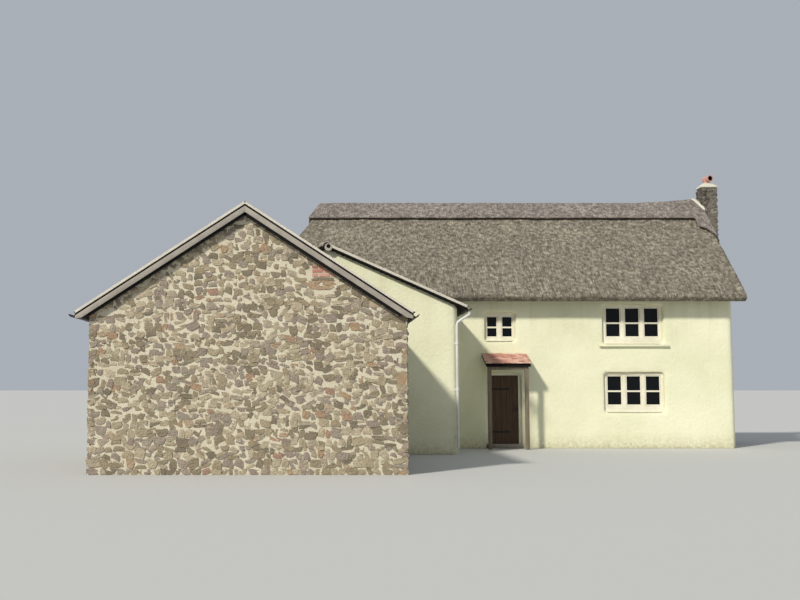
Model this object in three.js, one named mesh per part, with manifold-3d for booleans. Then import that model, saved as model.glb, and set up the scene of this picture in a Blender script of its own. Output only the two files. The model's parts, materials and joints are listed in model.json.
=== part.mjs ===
// Thatched cottage: a one-and-a-half-storey cob house under a combed thatch roof with a
// hipped left end and an external end stack on the right, a lower rendered wing in front
// of it, and a rubble-stone outbuilding with its gable to the front of the wing.
// Units are millimetres. X runs along the front, Y from front to back, Z up from the ground.
// Y is measured from the outer face of the house's front wall, X from the left ridge end.

import * as THREE from 'three';
import { mergeVertices } from 'three/addons/utils/BufferGeometryUtils.js';
import Module from 'manifold-3d';

const wasm = await Module();
wasm.setup();

// Clear joint left between neighbouring pieces
const GAP = 0.3;

// How far cutting and crossing bodies run past the faces that they meet
const PAST = 100;
const JUST_PAST = 10;
const FAR = 2000;

// Sides of the round parts, and straight steps in each curve of an outline
const ROUND_SIDES = 24;
const CURVE_STEPS = 5;

// House: plan of the walls
const HOUSE_LEFT = -1350;
const HOUSE_RIGHT = 11420;
const HOUSE_DEPTH = 5200;
const COB = 600;
const CORNER_RADIUS = 180;
const FRONT_WALL_SPLIT = 3200;

// House: thatch
const RIDGE_Y = HOUSE_DEPTH / 2;
const COAT_TOP = 7140;
const EAVE_LOW_Z = 3990;
const EAVE_LOW_OUT = 430;
const EAVE_HIGH_Z = 4165;
const EAVE_HIGH_OUT = 600;
const EAVE_LIP_FLAT = 30;
const EAVE_ROUND = 110;
const HIP_RIDGE_X = 34;
const HIP_EAVE_X = -1860;
const VERGE_X = 11615;
const VERGE_ROUND = 60;
const BLOCK_THICKNESS = 100;
const BLOCK_LOW_Z = 6695;

// Skirt of the block ridge that runs down beside the stack
const SKIRT_LEFT = 11200;
const SKIRT_RIGHT = 11665;
const SKIRT_SIDE_Z = 6390;
const SKIRT_SAG = 60;
const SKIRT_FOOT_Z = 5800;

// House: floors
const FLOOR_TOP = 120;
const UPPER_FLOOR_LOW = 2080;
const UPPER_FLOOR_TOP = 2260;

// Chimney at the right end
const STACK_LEFT = 11550;
const STACK_RIGHT = 12020;
const STACK_DEPTH = 470;
const STACK_TOP = 7690;
const NECK_TOP = 6600;
const BREAST_DEPTH = 1600;
const BREAST_TOP = 3900;
const SHOULDER_TOP = 4900;
const FLAUNCHING_TOP = 7855;
const FLAUNCHING_OVER = 25;
const FLAUNCHING_KERB = 30;
const FLAUNCHING_LIP = 35;

// Hooded pot: an upright body under a drum that lies level, closed behind and open in front
const POT_SEAT = 60;
const POT_RADIUS = 85;
const POT_WALL = 18;
const POT_TOP = 8078;
const HOOD_RADIUS = 88;
const HOOD_OUT = 200;
const HOOD_BACK = 95;
const HOOD_RIM = 10;
const HOOD_RIM_DEEP = 40;
const HOOD_TURN = THREE.MathUtils.degToRad(14);

// Windows and the front door
const REVEAL = 90;
const FRAME_DEPTH = 65;
const WIDE_BARS = { side: 85, head: 78, foot: 190, mullion: 100 };
const SMALL_BARS = { side: 62, head: 95, foot: 110, mullion: 104 };
const GLASS = 6;
const LEDGE_OUT = 75;
const LEDGE_HIGH = 63;
const LEDGE_HORN = 130;
const UPPER_HEAD = 3948;
const UPPER_SILL = 2839;
const LOWER_HEAD = 2070;
const LOWER_SILL = 960;
const WIDE_LEFT = 7815;
const WIDE_WIDTH = 1660;
const SMALL_LEFT = 4540;
const SMALL_WIDTH = 860;
const SMALL_HEAD = 3725;
const SMALL_SILL = 2915;
const BACK_LEFT = 1800;
const DOOR_LEFT = 4590;
const DOOR_WIDTH = 940;
const DOOR_HEAD = 2060;
const DOOR_FRAME = 70;
const DOOR_FRAME_DEPTH = 110;
const DOOR_SET_BACK = 30;
const DOOR_LEAF = 48;
const DOOR_CLEAR = 3;
const STEP_OUT = 60;

// Porch roof over the front door
const PORCH_LEFT = 4460;
const PORCH_RIGHT = 5660;
const PORCH_OUT = 700;
const PORCH_WALL_Z = 2575;
const PORCH_FRONT_Z = 2285;
const PORCH_SLAB = 70;
const PORCH_POST = 100;
const PORCH_POST_INSET = 50;

// Wing in front of the house's left end
const WING_RIGHT = 3450;
const WING_LEFT = HOUSE_LEFT;
const WING_OUT = 2700;
const WING_WALL = 500;
const WING_APEX_X = 180;
const WING_APEX_Z = 5226;
const WING_EAVE_X = 3666;
const WING_EAVE_Z = 3666;
const WING_EAVE_OVER = 250;
const WING_VERGE = 150;
const WING_SLAB = 75;
const WING_ROOF_BACK = 1200;
const DOORWAY_LEFT = 1000;
const DOORWAY_WIDTH = 850;

// Outbuilding in front of the wing
const BARN_LEFT = -4400;
const BARN_RIGHT = 1660;
const BARN_WALL = 450;
const BARN_LENGTH = 6000;
const BARN_APEX_X = -1440;
const BARN_APEX_Z = 5177;
const BARN_HALF_SPAN = 3213;
const BARN_EAVE_Z = 3068;
const BARN_VERGE = 160;
const BARN_SLAB = 50;
const BARN_SLAB_SET_BACK = 20;
const BARGE_DEPTH = 100;
const BARGE_THICK = 28;
const BARGE_FOOT = 60;
const BARGE_SNIP = 120;
const BARN_DOOR_WIDTH = 1300;
const BARN_DOOR_HEAD = 1980;
const BARN_DOOR_FRONT = 2200;
const BARN_DOOR_FRAME_DEPTH = 90;
const BARN_DOOR_SET_BACK = 20;
const BARN_DOOR_LIFT = 20;

// Ridge caps, gutters and the rainwater pipe
const CAP_ARM = 190;
const CAP_THICK = 22;
const CAP_CLEARANCE = 88;
const GUTTER_RADIUS = 60;
const GUTTER_WALL = 5;
const WING_GUTTER_STOP = 40;
const BARN_GUTTER_STOP = 20;
const PIPE_RADIUS = 34;
const PIPE_INSET = 40;
const PIPE_STAND_OFF = 12;
const OUTLET_INSET = 90;

// Levels of the pipe's bends below the gutter's outlet, and of its lower points above the ground
const PIPE_NECK = 90;
const PIPE_SLANT = 195;
const PIPE_BEND = 310;
const PIPE_STRAIGHT = 430;
const PIPE_MIDDLE_Z = 1500;
const PIPE_FOOT_Z = 150;
const PIPE_STEPS = 40;
const PIPE_TENSION = 0.2;

const colours = {
  limewash: new THREE.MeshStandardMaterial({ color: 0xe9e2bd, roughness: 0.9, metalness: 0 }),
  thatch: new THREE.MeshStandardMaterial({ color: 0x7b6d60, roughness: 1, metalness: 0 }),
  ridge: new THREE.MeshStandardMaterial({ color: 0x8a7a6c, roughness: 1, metalness: 0 }),
  rubble: new THREE.MeshStandardMaterial({ color: 0xa08f7c, roughness: 0.95, metalness: 0 }),
  slate: new THREE.MeshStandardMaterial({ color: 0x6b6a68, roughness: 0.7, metalness: 0 }),
  tile: new THREE.MeshStandardMaterial({ color: 0xb5593f, roughness: 0.8, metalness: 0 }),
  terracotta: new THREE.MeshStandardMaterial({ color: 0xc4603c, roughness: 0.75, metalness: 0 }),
  mortar: new THREE.MeshStandardMaterial({ color: 0xd8d3c4, roughness: 0.9, metalness: 0 }),
  paintedWood: new THREE.MeshStandardMaterial({ color: 0xece8d4, roughness: 0.55, metalness: 0 }),
  oldWood: new THREE.MeshStandardMaterial({ color: 0x8d857a, roughness: 0.85, metalness: 0 }),
  doorWood: new THREE.MeshStandardMaterial({ color: 0x5d4a38, roughness: 0.7, metalness: 0 }),
  darkGlass: new THREE.MeshStandardMaterial({ color: 0x1d2224, roughness: 0.08, metalness: 0 }),
  floor: new THREE.MeshStandardMaterial({ color: 0x8a8478, roughness: 0.9, metalness: 0 }),
  boards: new THREE.MeshStandardMaterial({ color: 0x8c6b48, roughness: 0.7, metalness: 0 }),
  darkGutter: new THREE.MeshStandardMaterial({ color: 0x2b2b2b, roughness: 0.5, metalness: 0 }),
  whitePipe: new THREE.MeshStandardMaterial({ color: 0xdedede, roughness: 0.45, metalness: 0 }),
};

const house = new THREE.Group();

function addMesh(name, geometry, material) {
  const mesh = new THREE.Mesh(geometry, material);
  mesh.name = name;
  house.add(mesh);
}

// Turns a closed three.js geometry into a solid that can be joined and cut
function solid(geometry) {
  const bare = geometry.clone();
  bare.deleteAttribute('normal');
  bare.deleteAttribute('uv');
  const merged = mergeVertices(bare, 0.001);
  const vertProperties = new Float32Array(merged.attributes.position.array);
  const triVerts = new Uint32Array(merged.index.array);
  return new wasm.Manifold(new wasm.Mesh({ numProp: 3, vertProperties, triVerts }));
}

function geometryOf(body) {
  const mesh = body.getMesh();
  const geometry = new THREE.BufferGeometry();
  geometry.setAttribute('position', new THREE.BufferAttribute(mesh.vertProperties, 3));
  geometry.setIndex(new THREE.BufferAttribute(mesh.triVerts, 1));
  geometry.computeVertexNormals();
  return geometry;
}

function addSolid(name, body, material) {
  addMesh(name, geometryOf(body), material);
}

function outline(points) {
  return new THREE.Shape(points.map(([a, b]) => new THREE.Vector2(a, b)));
}

function extrude(shape, depth) {
  return new THREE.ExtrudeGeometry(shape, { depth, bevelEnabled: false, curveSegments: CURVE_STEPS });
}

// A plan outline in X and Y, raised from one level to another
function alongZ(shape, low, high) {
  return solid(extrude(shape, high - low).translate(0, 0, low));
}

// An outline in X and Z, run from front to back
function alongY(shape, front, back) {
  return solid(extrude(shape, back - front).rotateX(Math.PI / 2).translate(0, back, 0));
}

// An outline in Y and Z, run from left to right
function alongX(shape, left, right) {
  const turn = new THREE.Matrix4().makeBasis(
    new THREE.Vector3(0, 1, 0),
    new THREE.Vector3(0, 0, 1),
    new THREE.Vector3(1, 0, 0),
  );
  return solid(extrude(shape, right - left).applyMatrix4(turn).translate(left, 0, 0));
}

function block([left, right], [front, back], [low, high]) {
  const box = new THREE.BoxGeometry(right - left, back - front, high - low);
  box.translate((left + right) / 2, (front + back) / 2, (low + high) / 2);
  return solid(box);
}

// Height of the thatch's underside and of its outer face above a depth or a length
const COAT_RISE = (COAT_TOP - EAVE_HIGH_Z) / (RIDGE_Y + EAVE_HIGH_OUT);
const HIP_RISE = (COAT_TOP - EAVE_HIGH_Z) / (HIP_RIDGE_X - HIP_EAVE_X);
const SOFFIT_START_Y = EAVE_LIP_FLAT - EAVE_LOW_OUT;
const HIP_LOW_X = HIP_EAVE_X + EAVE_HIGH_OUT - EAVE_LOW_OUT;
const SOFFIT_START_X = HIP_LOW_X + EAVE_LIP_FLAT;
const soffitAt = (y) => EAVE_LOW_Z + COAT_RISE * (y - SOFFIT_START_Y);
const hipSoffitAt = (x) => EAVE_LOW_Z + HIP_RISE * (x - SOFFIT_START_X);

// The outer form of the thatch, grown outwards by a margin, as two crossing sections
function thatchEnvelope(margin, low, rightEnd) {
  const frontGrow = margin * Math.hypot(1, COAT_RISE);
  const hipGrow = margin * Math.hypot(1, HIP_RISE);
  const lowFront = -EAVE_LOW_OUT - margin;
  const highFront = -EAVE_HIGH_OUT - margin;
  const step = EAVE_ROUND / Math.hypot(1, COAT_RISE);
  const section = new THREE.Shape();
  section.moveTo(lowFront, low);
  section.lineTo(highFront + step / 3, EAVE_HIGH_Z - step);
  section.quadraticCurveTo(
    highFront,
    EAVE_HIGH_Z + frontGrow - margin * COAT_RISE,
    highFront + step,
    EAVE_HIGH_Z + frontGrow + (step - margin) * COAT_RISE,
  );
  section.lineTo(RIDGE_Y, COAT_TOP + frontGrow);
  section.lineTo(HOUSE_DEPTH - highFront - step, EAVE_HIGH_Z + frontGrow + (step - margin) * COAT_RISE);
  section.quadraticCurveTo(
    HOUSE_DEPTH - highFront,
    EAVE_HIGH_Z + frontGrow - margin * COAT_RISE,
    HOUSE_DEPTH - highFront - step / 3,
    EAVE_HIGH_Z - step,
  );
  section.lineTo(HOUSE_DEPTH - lowFront, low);
  section.closePath();

  const top = COAT_TOP + frontGrow;
  const hipTopX = HIP_RIDGE_X + (top - COAT_TOP - hipGrow) / HIP_RISE;
  const length = new THREE.Shape();
  length.moveTo(HIP_LOW_X - margin, low);
  length.lineTo(HIP_EAVE_X - margin + step / 3, EAVE_HIGH_Z - step);
  length.lineTo(HIP_EAVE_X - margin + step / 2, EAVE_HIGH_Z + hipGrow + (step / 2 - margin) * HIP_RISE);
  length.lineTo(hipTopX, top);
  length.lineTo(rightEnd - VERGE_ROUND, top);
  length.quadraticCurveTo(rightEnd, top, rightEnd, top - VERGE_ROUND);
  length.lineTo(rightEnd, low);
  length.closePath();

  const across = alongX(section, HIP_EAVE_X - margin - PAST, rightEnd + PAST);
  const along = alongY(length, highFront - PAST, HOUSE_DEPTH - highFront + PAST);
  return across.intersect(along);
}

// The open roof space under the thatch
function roofSpace() {
  const below = EAVE_LOW_Z - PAST;
  const apex = soffitAt(RIDGE_Y);
  const drop = PAST / COAT_RISE;
  const section = outline([
    [SOFFIT_START_Y - drop, below],
    [RIDGE_Y, apex],
    [HOUSE_DEPTH - SOFFIT_START_Y + drop, below],
  ]);
  const topX = SOFFIT_START_X + (apex - EAVE_LOW_Z) / HIP_RISE;
  const length = outline([
    [SOFFIT_START_X - PAST / HIP_RISE, below],
    [topX, apex],
    [VERGE_X + PAST, apex],
    [VERGE_X + PAST, below],
  ]);
  return alongX(section, HIP_EAVE_X - PAST, VERGE_X + PAST).intersect(
    alongY(length, -EAVE_HIGH_OUT - PAST, HOUSE_DEPTH + EAVE_HIGH_OUT + PAST),
  );
}

// A wide breast against the gable with sloping shoulders, and the narrower shaft above the thatch
function stackBody(grow) {
  const half = STACK_DEPTH / 2 + grow;
  const wide = BREAST_DEPTH / 2 + grow;
  const profile = outline([
    [RIDGE_Y - wide, 0],
    [RIDGE_Y + wide, 0],
    [RIDGE_Y + wide, BREAST_TOP],
    [RIDGE_Y + half, SHOULDER_TOP],
    [RIDGE_Y + half, NECK_TOP + grow],
    [RIDGE_Y - half, NECK_TOP + grow],
    [RIDGE_Y - half, SHOULDER_TOP],
    [RIDGE_Y - wide, BREAST_TOP],
  ]);
  const shaft = block(
    [STACK_LEFT - grow, STACK_RIGHT + grow],
    [RIDGE_Y - half, RIDGE_Y + half],
    [SHOULDER_TOP, STACK_TOP],
  );
  return alongX(profile, HOUSE_RIGHT + GAP - grow, STACK_RIGHT + grow).add(shaft);
}

function addThatch() {
  const coat = thatchEnvelope(0, EAVE_LOW_Z, VERGE_X).subtract(roofSpace()).subtract(stackBody(GAP));
  const half = GAP / 2;
  const cornerX = HIP_EAVE_X - FAR;
  const hipRun = (HIP_RIDGE_X - HIP_EAVE_X) / (RIDGE_Y + EAVE_HIGH_OUT);
  const reach = RIDGE_Y + EAVE_HIGH_OUT + FAR / hipRun;
  const frontPlan = outline([
    [HIP_RIDGE_X + half, RIDGE_Y - half],
    [cornerX + half, RIDGE_Y - reach - half],
    [VERGE_X + FAR, RIDGE_Y - reach - half],
    [VERGE_X + FAR, RIDGE_Y - half],
  ]);
  const backPlan = outline([
    [HIP_RIDGE_X + half, RIDGE_Y + half],
    [VERGE_X + FAR, RIDGE_Y + half],
    [VERGE_X + FAR, RIDGE_Y + reach + half],
    [cornerX + half, RIDGE_Y + reach + half],
  ]);
  const hipPlan = outline([
    [HIP_RIDGE_X - half, RIDGE_Y],
    [cornerX - half, RIDGE_Y + reach],
    [cornerX - half, RIDGE_Y - reach],
  ]);
  const piece = (plan) => coat.intersect(alongZ(plan, 0, STACK_TOP));
  addSolid('thatch_front_slope', piece(frontPlan), colours.thatch);
  addSolid('thatch_back_slope', piece(backPlan), colours.thatch);
  addSolid('thatch_hip_end', piece(hipPlan), colours.thatch);

  // The block's lower edge is level, and near the stack it curves down to the skirt's foot
  const blockFace = new THREE.Shape();
  blockFace.moveTo(cornerX, BLOCK_LOW_Z);
  blockFace.lineTo(SKIRT_LEFT, BLOCK_LOW_Z);
  blockFace.lineTo(SKIRT_LEFT, SKIRT_SIDE_Z);
  blockFace.quadraticCurveTo(
    (SKIRT_LEFT + 2 * SKIRT_RIGHT) / 3,
    SKIRT_SIDE_Z - SKIRT_SAG,
    SKIRT_RIGHT,
    SKIRT_FOOT_Z,
  );
  blockFace.lineTo(SKIRT_RIGHT, STACK_TOP);
  blockFace.lineTo(cornerX, STACK_TOP);
  blockFace.closePath();
  const ridge = thatchEnvelope(BLOCK_THICKNESS, EAVE_LOW_Z, VERGE_X)
    .intersect(alongY(blockFace, -FAR, HOUSE_DEPTH + FAR))
    .subtract(thatchEnvelope(GAP, EAVE_LOW_Z - JUST_PAST, VERGE_X + JUST_PAST))
    .subtract(stackBody(GAP));
  addSolid('thatch_ridge', ridge, colours.ridge);
}

function addChimney() {
  addSolid('chimney_stack', stackBody(0), colours.rubble);
  const centreX = (STACK_LEFT + STACK_RIGHT) / 2;
  const low = STACK_TOP + GAP;
  const halfX = (STACK_RIGHT - STACK_LEFT) / 2 + FLAUNCHING_OVER;
  const halfY = STACK_DEPTH / 2 + FLAUNCHING_OVER;
  const kerb = low + FLAUNCHING_KERB;
  const topHalf = POT_RADIUS + FLAUNCHING_LIP;
  const slope = outline([
    [centreX - halfX, low],
    [centreX + halfX, low],
    [centreX + halfX, kerb],
    [centreX + topHalf, FLAUNCHING_TOP],
    [centreX - topHalf, FLAUNCHING_TOP],
    [centreX - halfX, kerb],
  ]);
  const otherSlope = outline([
    [RIDGE_Y - halfY, low],
    [RIDGE_Y + halfY, low],
    [RIDGE_Y + halfY, kerb],
    [RIDGE_Y + topHalf, FLAUNCHING_TOP],
    [RIDGE_Y - topHalf, FLAUNCHING_TOP],
    [RIDGE_Y - halfY, kerb],
  ]);
  const cap = alongY(slope, RIDGE_Y - halfY, RIDGE_Y + halfY).intersect(
    alongX(otherSlope, centreX - halfX, centreX + halfX),
  );
  const socketRadius = POT_RADIUS + GAP;
  const socket = post(socketRadius, centreX, RIDGE_Y, low + POT_SEAT, FLAUNCHING_TOP + PAST);
  addSolid('chimney_flaunching', cap.subtract(socket), colours.mortar);
  addPot(centreX, low + POT_SEAT + GAP);
}

// An upright round post
function post(radius, x, y, low, high) {
  const geometry = new THREE.CylinderGeometry(radius, radius, high - low, ROUND_SIDES);
  geometry.rotateX(Math.PI / 2).translate(x, y, (low + high) / 2);
  return solid(geometry);
}

function addPot(centreX, low) {
  const level = POT_TOP - HOOD_RADIUS - HOOD_RIM;
  const drum = (radius, back, out) => {
    const geometry = new THREE.CylinderGeometry(radius, radius, out - back, ROUND_SIDES);
    geometry.translate(0, -(back + out) / 2, 0).rotateZ(HOOD_TURN).translate(centreX, RIDGE_Y, level);
    return solid(geometry);
  };
  const outside = post(POT_RADIUS, centreX, RIDGE_Y, low, level)
    .add(drum(HOOD_RADIUS, -HOOD_BACK, HOOD_OUT))
    .add(drum(HOOD_RADIUS + HOOD_RIM, HOOD_OUT - HOOD_RIM_DEEP, HOOD_OUT));
  const inside = post(POT_RADIUS - POT_WALL, centreX, RIDGE_Y, low - PAST, level).add(
    drum(HOOD_RADIUS - POT_WALL, POT_WALL - HOOD_BACK, HOOD_OUT + PAST),
  );
  addSolid('chimney_pot', outside.subtract(inside), colours.terracotta);
}

// Three-light casement window: where its opening is, and which face of the house it is in
function wideWindow(name, left, sill, head, face) {
  return { name, left, right: left + WIDE_WIDTH, sill, head, lights: 3, bars: WIDE_BARS, face };
}

const smallWindow = {
  name: 'upper_left',
  left: SMALL_LEFT,
  right: SMALL_LEFT + SMALL_WIDTH,
  sill: SMALL_SILL,
  head: SMALL_HEAD,
  lights: 2,
  bars: SMALL_BARS,
  face: 'front',
};

const frontWindows = [
  wideWindow('upper_right', WIDE_LEFT, UPPER_SILL, UPPER_HEAD, 'front'),
  smallWindow,
  wideWindow('lower_right', WIDE_LEFT, LOWER_SILL, LOWER_HEAD, 'front'),
];

const backWindows = [
  wideWindow('back_upper_left', BACK_LEFT, UPPER_SILL, UPPER_HEAD, 'back'),
  wideWindow('back_upper_right', WIDE_LEFT, UPPER_SILL, UPPER_HEAD, 'back'),
  wideWindow('back_lower_left', BACK_LEFT, LOWER_SILL, LOWER_HEAD, 'back'),
  wideWindow('back_lower_right', WIDE_LEFT, LOWER_SILL, LOWER_HEAD, 'back'),
];

function depthFrom(face, near, far) {
  return face === 'front' ? [near, far] : [HOUSE_DEPTH - far, HOUSE_DEPTH - near];
}

function windowHole(w) {
  return block([w.left, w.right], depthFrom(w.face, -PAST, COB + PAST), [w.sill, w.head]);
}

function addWindow(w) {
  let frame = block(
    [w.left + GAP, w.right - GAP],
    depthFrom(w.face, REVEAL, REVEAL + FRAME_DEPTH),
    [w.sill + GAP, w.head - GAP],
  );
  const { side, head, foot, mullion } = w.bars;
  const clear = w.right - w.left - 2 * side - (w.lights - 1) * mullion;
  const light = clear / w.lights;
  for (let i = 0; i < w.lights; i += 1) {
    const from = w.left + side + i * (light + mullion);
    const hole = block(
      [from, from + light],
      [-COB, HOUSE_DEPTH + COB],
      [w.sill + foot, w.head - head],
    );
    frame = frame.subtract(hole);
  }
  addSolid(`${w.name}_window_frame`, frame, colours.paintedWood);
  const pane = REVEAL + FRAME_DEPTH + GAP;
  const sheet = block(
    [w.left + side / 2, w.right - side / 2],
    depthFrom(w.face, pane, pane + GLASS),
    [w.sill + foot / 2, w.head - head / 2],
  );
  addSolid(`${w.name}_window_glass`, sheet, colours.darkGlass);
}

function addLedge(w) {
  const ledge = block(
    [w.left - LEDGE_HORN, w.right + LEDGE_HORN],
    [-LEDGE_OUT, -GAP],
    [w.sill - LEDGE_HIGH, w.sill],
  );
  addSolid(`${w.name}_window_ledge`, ledge, colours.limewash);
}

// Long cob walls with raked tops that carry the thatch, rounded at their outer corners
function addHouseWalls() {
  const rake = outline([
    [0, 0],
    [COB, 0],
    [COB, soffitAt(COB) - GAP],
    [0, soffitAt(0) - GAP],
  ]);
  const backRake = outline([
    [HOUSE_DEPTH - COB, 0],
    [HOUSE_DEPTH, 0],
    [HOUSE_DEPTH, soffitAt(0) - GAP],
    [HOUSE_DEPTH - COB, soffitAt(COB) - GAP],
  ]);
  const r = CORNER_RADIUS;
  const frontPlan = new THREE.Shape();
  frontPlan.moveTo(HOUSE_LEFT, 0);
  frontPlan.lineTo(HOUSE_RIGHT - r, 0);
  frontPlan.absarc(HOUSE_RIGHT - r, r, r, -Math.PI / 2, 0, false);
  frontPlan.lineTo(HOUSE_RIGHT, COB);
  frontPlan.lineTo(HOUSE_LEFT, COB);
  frontPlan.closePath();
  const backPlan = new THREE.Shape();
  backPlan.moveTo(HOUSE_LEFT, HOUSE_DEPTH - COB);
  backPlan.lineTo(HOUSE_RIGHT, HOUSE_DEPTH - COB);
  backPlan.lineTo(HOUSE_RIGHT, HOUSE_DEPTH - r);
  backPlan.absarc(HOUSE_RIGHT - r, HOUSE_DEPTH - r, r, 0, Math.PI / 2, false);
  backPlan.lineTo(HOUSE_LEFT + r, HOUSE_DEPTH);
  backPlan.absarc(HOUSE_LEFT + r, HOUSE_DEPTH - r, r, Math.PI / 2, Math.PI, false);
  backPlan.closePath();

  const hipSide = alongY(outline([
    [HOUSE_LEFT, 0],
    [HOUSE_RIGHT, 0],
    [HOUSE_RIGHT, soffitAt(COB)],
    [SOFFIT_START_X + (soffitAt(COB) - EAVE_LOW_Z) / HIP_RISE, soffitAt(COB)],
    [HOUSE_LEFT, hipSoffitAt(HOUSE_LEFT) - GAP],
  ]), 0, HOUSE_DEPTH);

  let front = alongX(rake, HOUSE_LEFT, HOUSE_RIGHT)
    .intersect(alongZ(frontPlan, 0, COAT_TOP))
    .intersect(hipSide);
  for (const w of frontWindows) {
    front = front.subtract(windowHole(w));
  }
  const through = [-PAST, COB + PAST];
  const doorHigh = [-JUST_PAST, DOOR_HEAD];
  const doorHole = block([DOOR_LEFT, DOOR_LEFT + DOOR_WIDTH], through, doorHigh);
  const doorwayHole = block([DOORWAY_LEFT, DOORWAY_LEFT + DOORWAY_WIDTH], through, doorHigh);
  front = front.subtract(doorHole).subtract(doorwayHole);
  const rightPart = block([FRONT_WALL_SPLIT + GAP, HOUSE_RIGHT + PAST], through, [-PAST, COAT_TOP]);
  const leftPart = block([HOUSE_LEFT - PAST, FRONT_WALL_SPLIT], through, [-PAST, COAT_TOP]);
  addSolid('front_wall', front.intersect(rightPart), colours.limewash);
  addSolid('front_wall_behind_wing', front.intersect(leftPart), colours.limewash);

  let back = alongX(backRake, HOUSE_LEFT, HOUSE_RIGHT)
    .intersect(alongZ(backPlan, 0, COAT_TOP))
    .intersect(hipSide);
  for (const w of backWindows) {
    back = back.subtract(windowHole(w));
  }
  addSolid('back_wall', back, colours.limewash);

  const endTop = hipSoffitAt(HOUSE_LEFT) - GAP;
  addSolid('left_end_wall', block(
    [HOUSE_LEFT, HOUSE_LEFT + COB],
    [COB + GAP, HOUSE_DEPTH - COB - GAP],
    [0, endTop],
  ), colours.limewash);

  const gable = outline([
    [COB + GAP, 0],
    [HOUSE_DEPTH - COB - GAP, 0],
    [HOUSE_DEPTH - COB - GAP, soffitAt(COB) - GAP],
    [RIDGE_Y, soffitAt(RIDGE_Y) - GAP],
    [COB + GAP, soffitAt(COB) - GAP],
  ]);
  addSolid('right_gable_wall', alongX(gable, HOUSE_RIGHT - COB, HOUSE_RIGHT), colours.limewash);
}

// One solid ground floor that runs through the inner doorway into the wing
function addFloors() {
  const insideLeft = HOUSE_LEFT + COB + GAP;
  const insideRight = HOUSE_RIGHT - COB - GAP;
  const insideFront = COB + GAP;
  const insideBack = HOUSE_DEPTH - COB - GAP;
  const wingLeft = WING_LEFT + WING_WALL + GAP;
  const wingRight = WING_RIGHT - WING_WALL - GAP;
  const plan = outline([
    [insideLeft, insideFront],
    [DOORWAY_LEFT + GAP, insideFront],
    [DOORWAY_LEFT + GAP, -GAP],
    [wingLeft, -GAP],
    [wingLeft, WING_WALL - WING_OUT + GAP],
    [wingRight, WING_WALL - WING_OUT + GAP],
    [wingRight, -GAP],
    [DOORWAY_LEFT + DOORWAY_WIDTH - GAP, -GAP],
    [DOORWAY_LEFT + DOORWAY_WIDTH - GAP, insideFront],
    [insideRight, insideFront],
    [insideRight, insideBack],
    [insideLeft, insideBack],
  ]);
  addSolid('ground_floor', alongZ(plan, 0, FLOOR_TOP), colours.floor);
  addSolid('upper_floor', block(
    [insideLeft, insideRight],
    [insideFront, insideBack],
    [UPPER_FLOOR_LOW, UPPER_FLOOR_TOP],
  ), colours.boards);
}

// Plank door with a frame of two posts and a head, set back in the wall
function addFrontDoor() {
  const left = DOOR_LEFT + GAP;
  const right = DOOR_LEFT + DOOR_WIDTH - GAP;
  const head = DOOR_HEAD - GAP;
  const frame = outline([
    [left, 0],
    [left + DOOR_FRAME, 0],
    [left + DOOR_FRAME, head - DOOR_FRAME],
    [right - DOOR_FRAME, head - DOOR_FRAME],
    [right - DOOR_FRAME, 0],
    [right, 0],
    [right, head],
    [left, head],
  ]);
  const frameBack = REVEAL + DOOR_FRAME_DEPTH;
  addSolid('front_door_frame', alongY(frame, REVEAL, frameBack), colours.paintedWood);
  const notchHigh = [-JUST_PAST, FLOOR_TOP + JUST_PAST];
  const notch = (from, to) => block([from, to], [REVEAL - GAP, frameBack + PAST], notchHigh);
  const step = block([left, right], [-STEP_OUT, frameBack + STEP_OUT], [0, FLOOR_TOP])
    .subtract(notch(left - JUST_PAST, left + DOOR_FRAME + GAP))
    .subtract(notch(right - DOOR_FRAME - GAP, right + JUST_PAST));
  addSolid('front_door_step', step, colours.rubble);
  addSolid('front_door', block(
    [left + DOOR_FRAME + GAP, right - DOOR_FRAME - DOOR_CLEAR],
    [REVEAL + DOOR_SET_BACK, REVEAL + DOOR_SET_BACK + DOOR_LEAF],
    [FLOOR_TOP + DOOR_CLEAR, head - DOOR_FRAME - DOOR_CLEAR],
  ), colours.doorWood);
}

// Tiled slab that leans on the wall, and its frame of two posts and a beam
function addPorch() {
  const rise = (PORCH_WALL_Z - PORCH_FRONT_Z) / PORCH_OUT;
  const drop = PORCH_SLAB * Math.hypot(1, rise);
  const slab = outline([
    [-PORCH_OUT, PORCH_FRONT_Z - drop],
    [-GAP, PORCH_WALL_Z - drop],
    [-GAP, PORCH_WALL_Z],
    [-PORCH_OUT, PORCH_FRONT_Z],
  ]);
  addSolid('porch_roof', alongX(slab, PORCH_LEFT, PORCH_RIGHT), colours.tile);
  const front = PORCH_POST_INSET - PORCH_OUT;
  const top = PORCH_FRONT_Z - drop + rise * PORCH_POST_INSET - GAP;
  const left = PORCH_LEFT + PORCH_POST_INSET;
  const right = PORCH_RIGHT - PORCH_POST_INSET;
  const frame = outline([
    [left, 0],
    [left + PORCH_POST, 0],
    [left + PORCH_POST, top - PORCH_POST],
    [right - PORCH_POST, top - PORCH_POST],
    [right - PORCH_POST, 0],
    [right, 0],
    [right, top],
    [left, top],
  ]);
  addSolid('porch_frame', alongY(frame, front, front + PORCH_POST), colours.oldWood);
}

// Wing roof: heights of the outer face on either side of its apex
const WING_RISE = (WING_APEX_Z - WING_EAVE_Z) / (WING_EAVE_X - WING_APEX_X);
const WING_DROP = WING_SLAB * Math.hypot(1, WING_RISE);
const wingRoofAt = (x) => WING_APEX_Z - WING_RISE * Math.abs(x - WING_APEX_X);
const wingSoffitAt = (x) => wingRoofAt(x) - WING_DROP;

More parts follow.
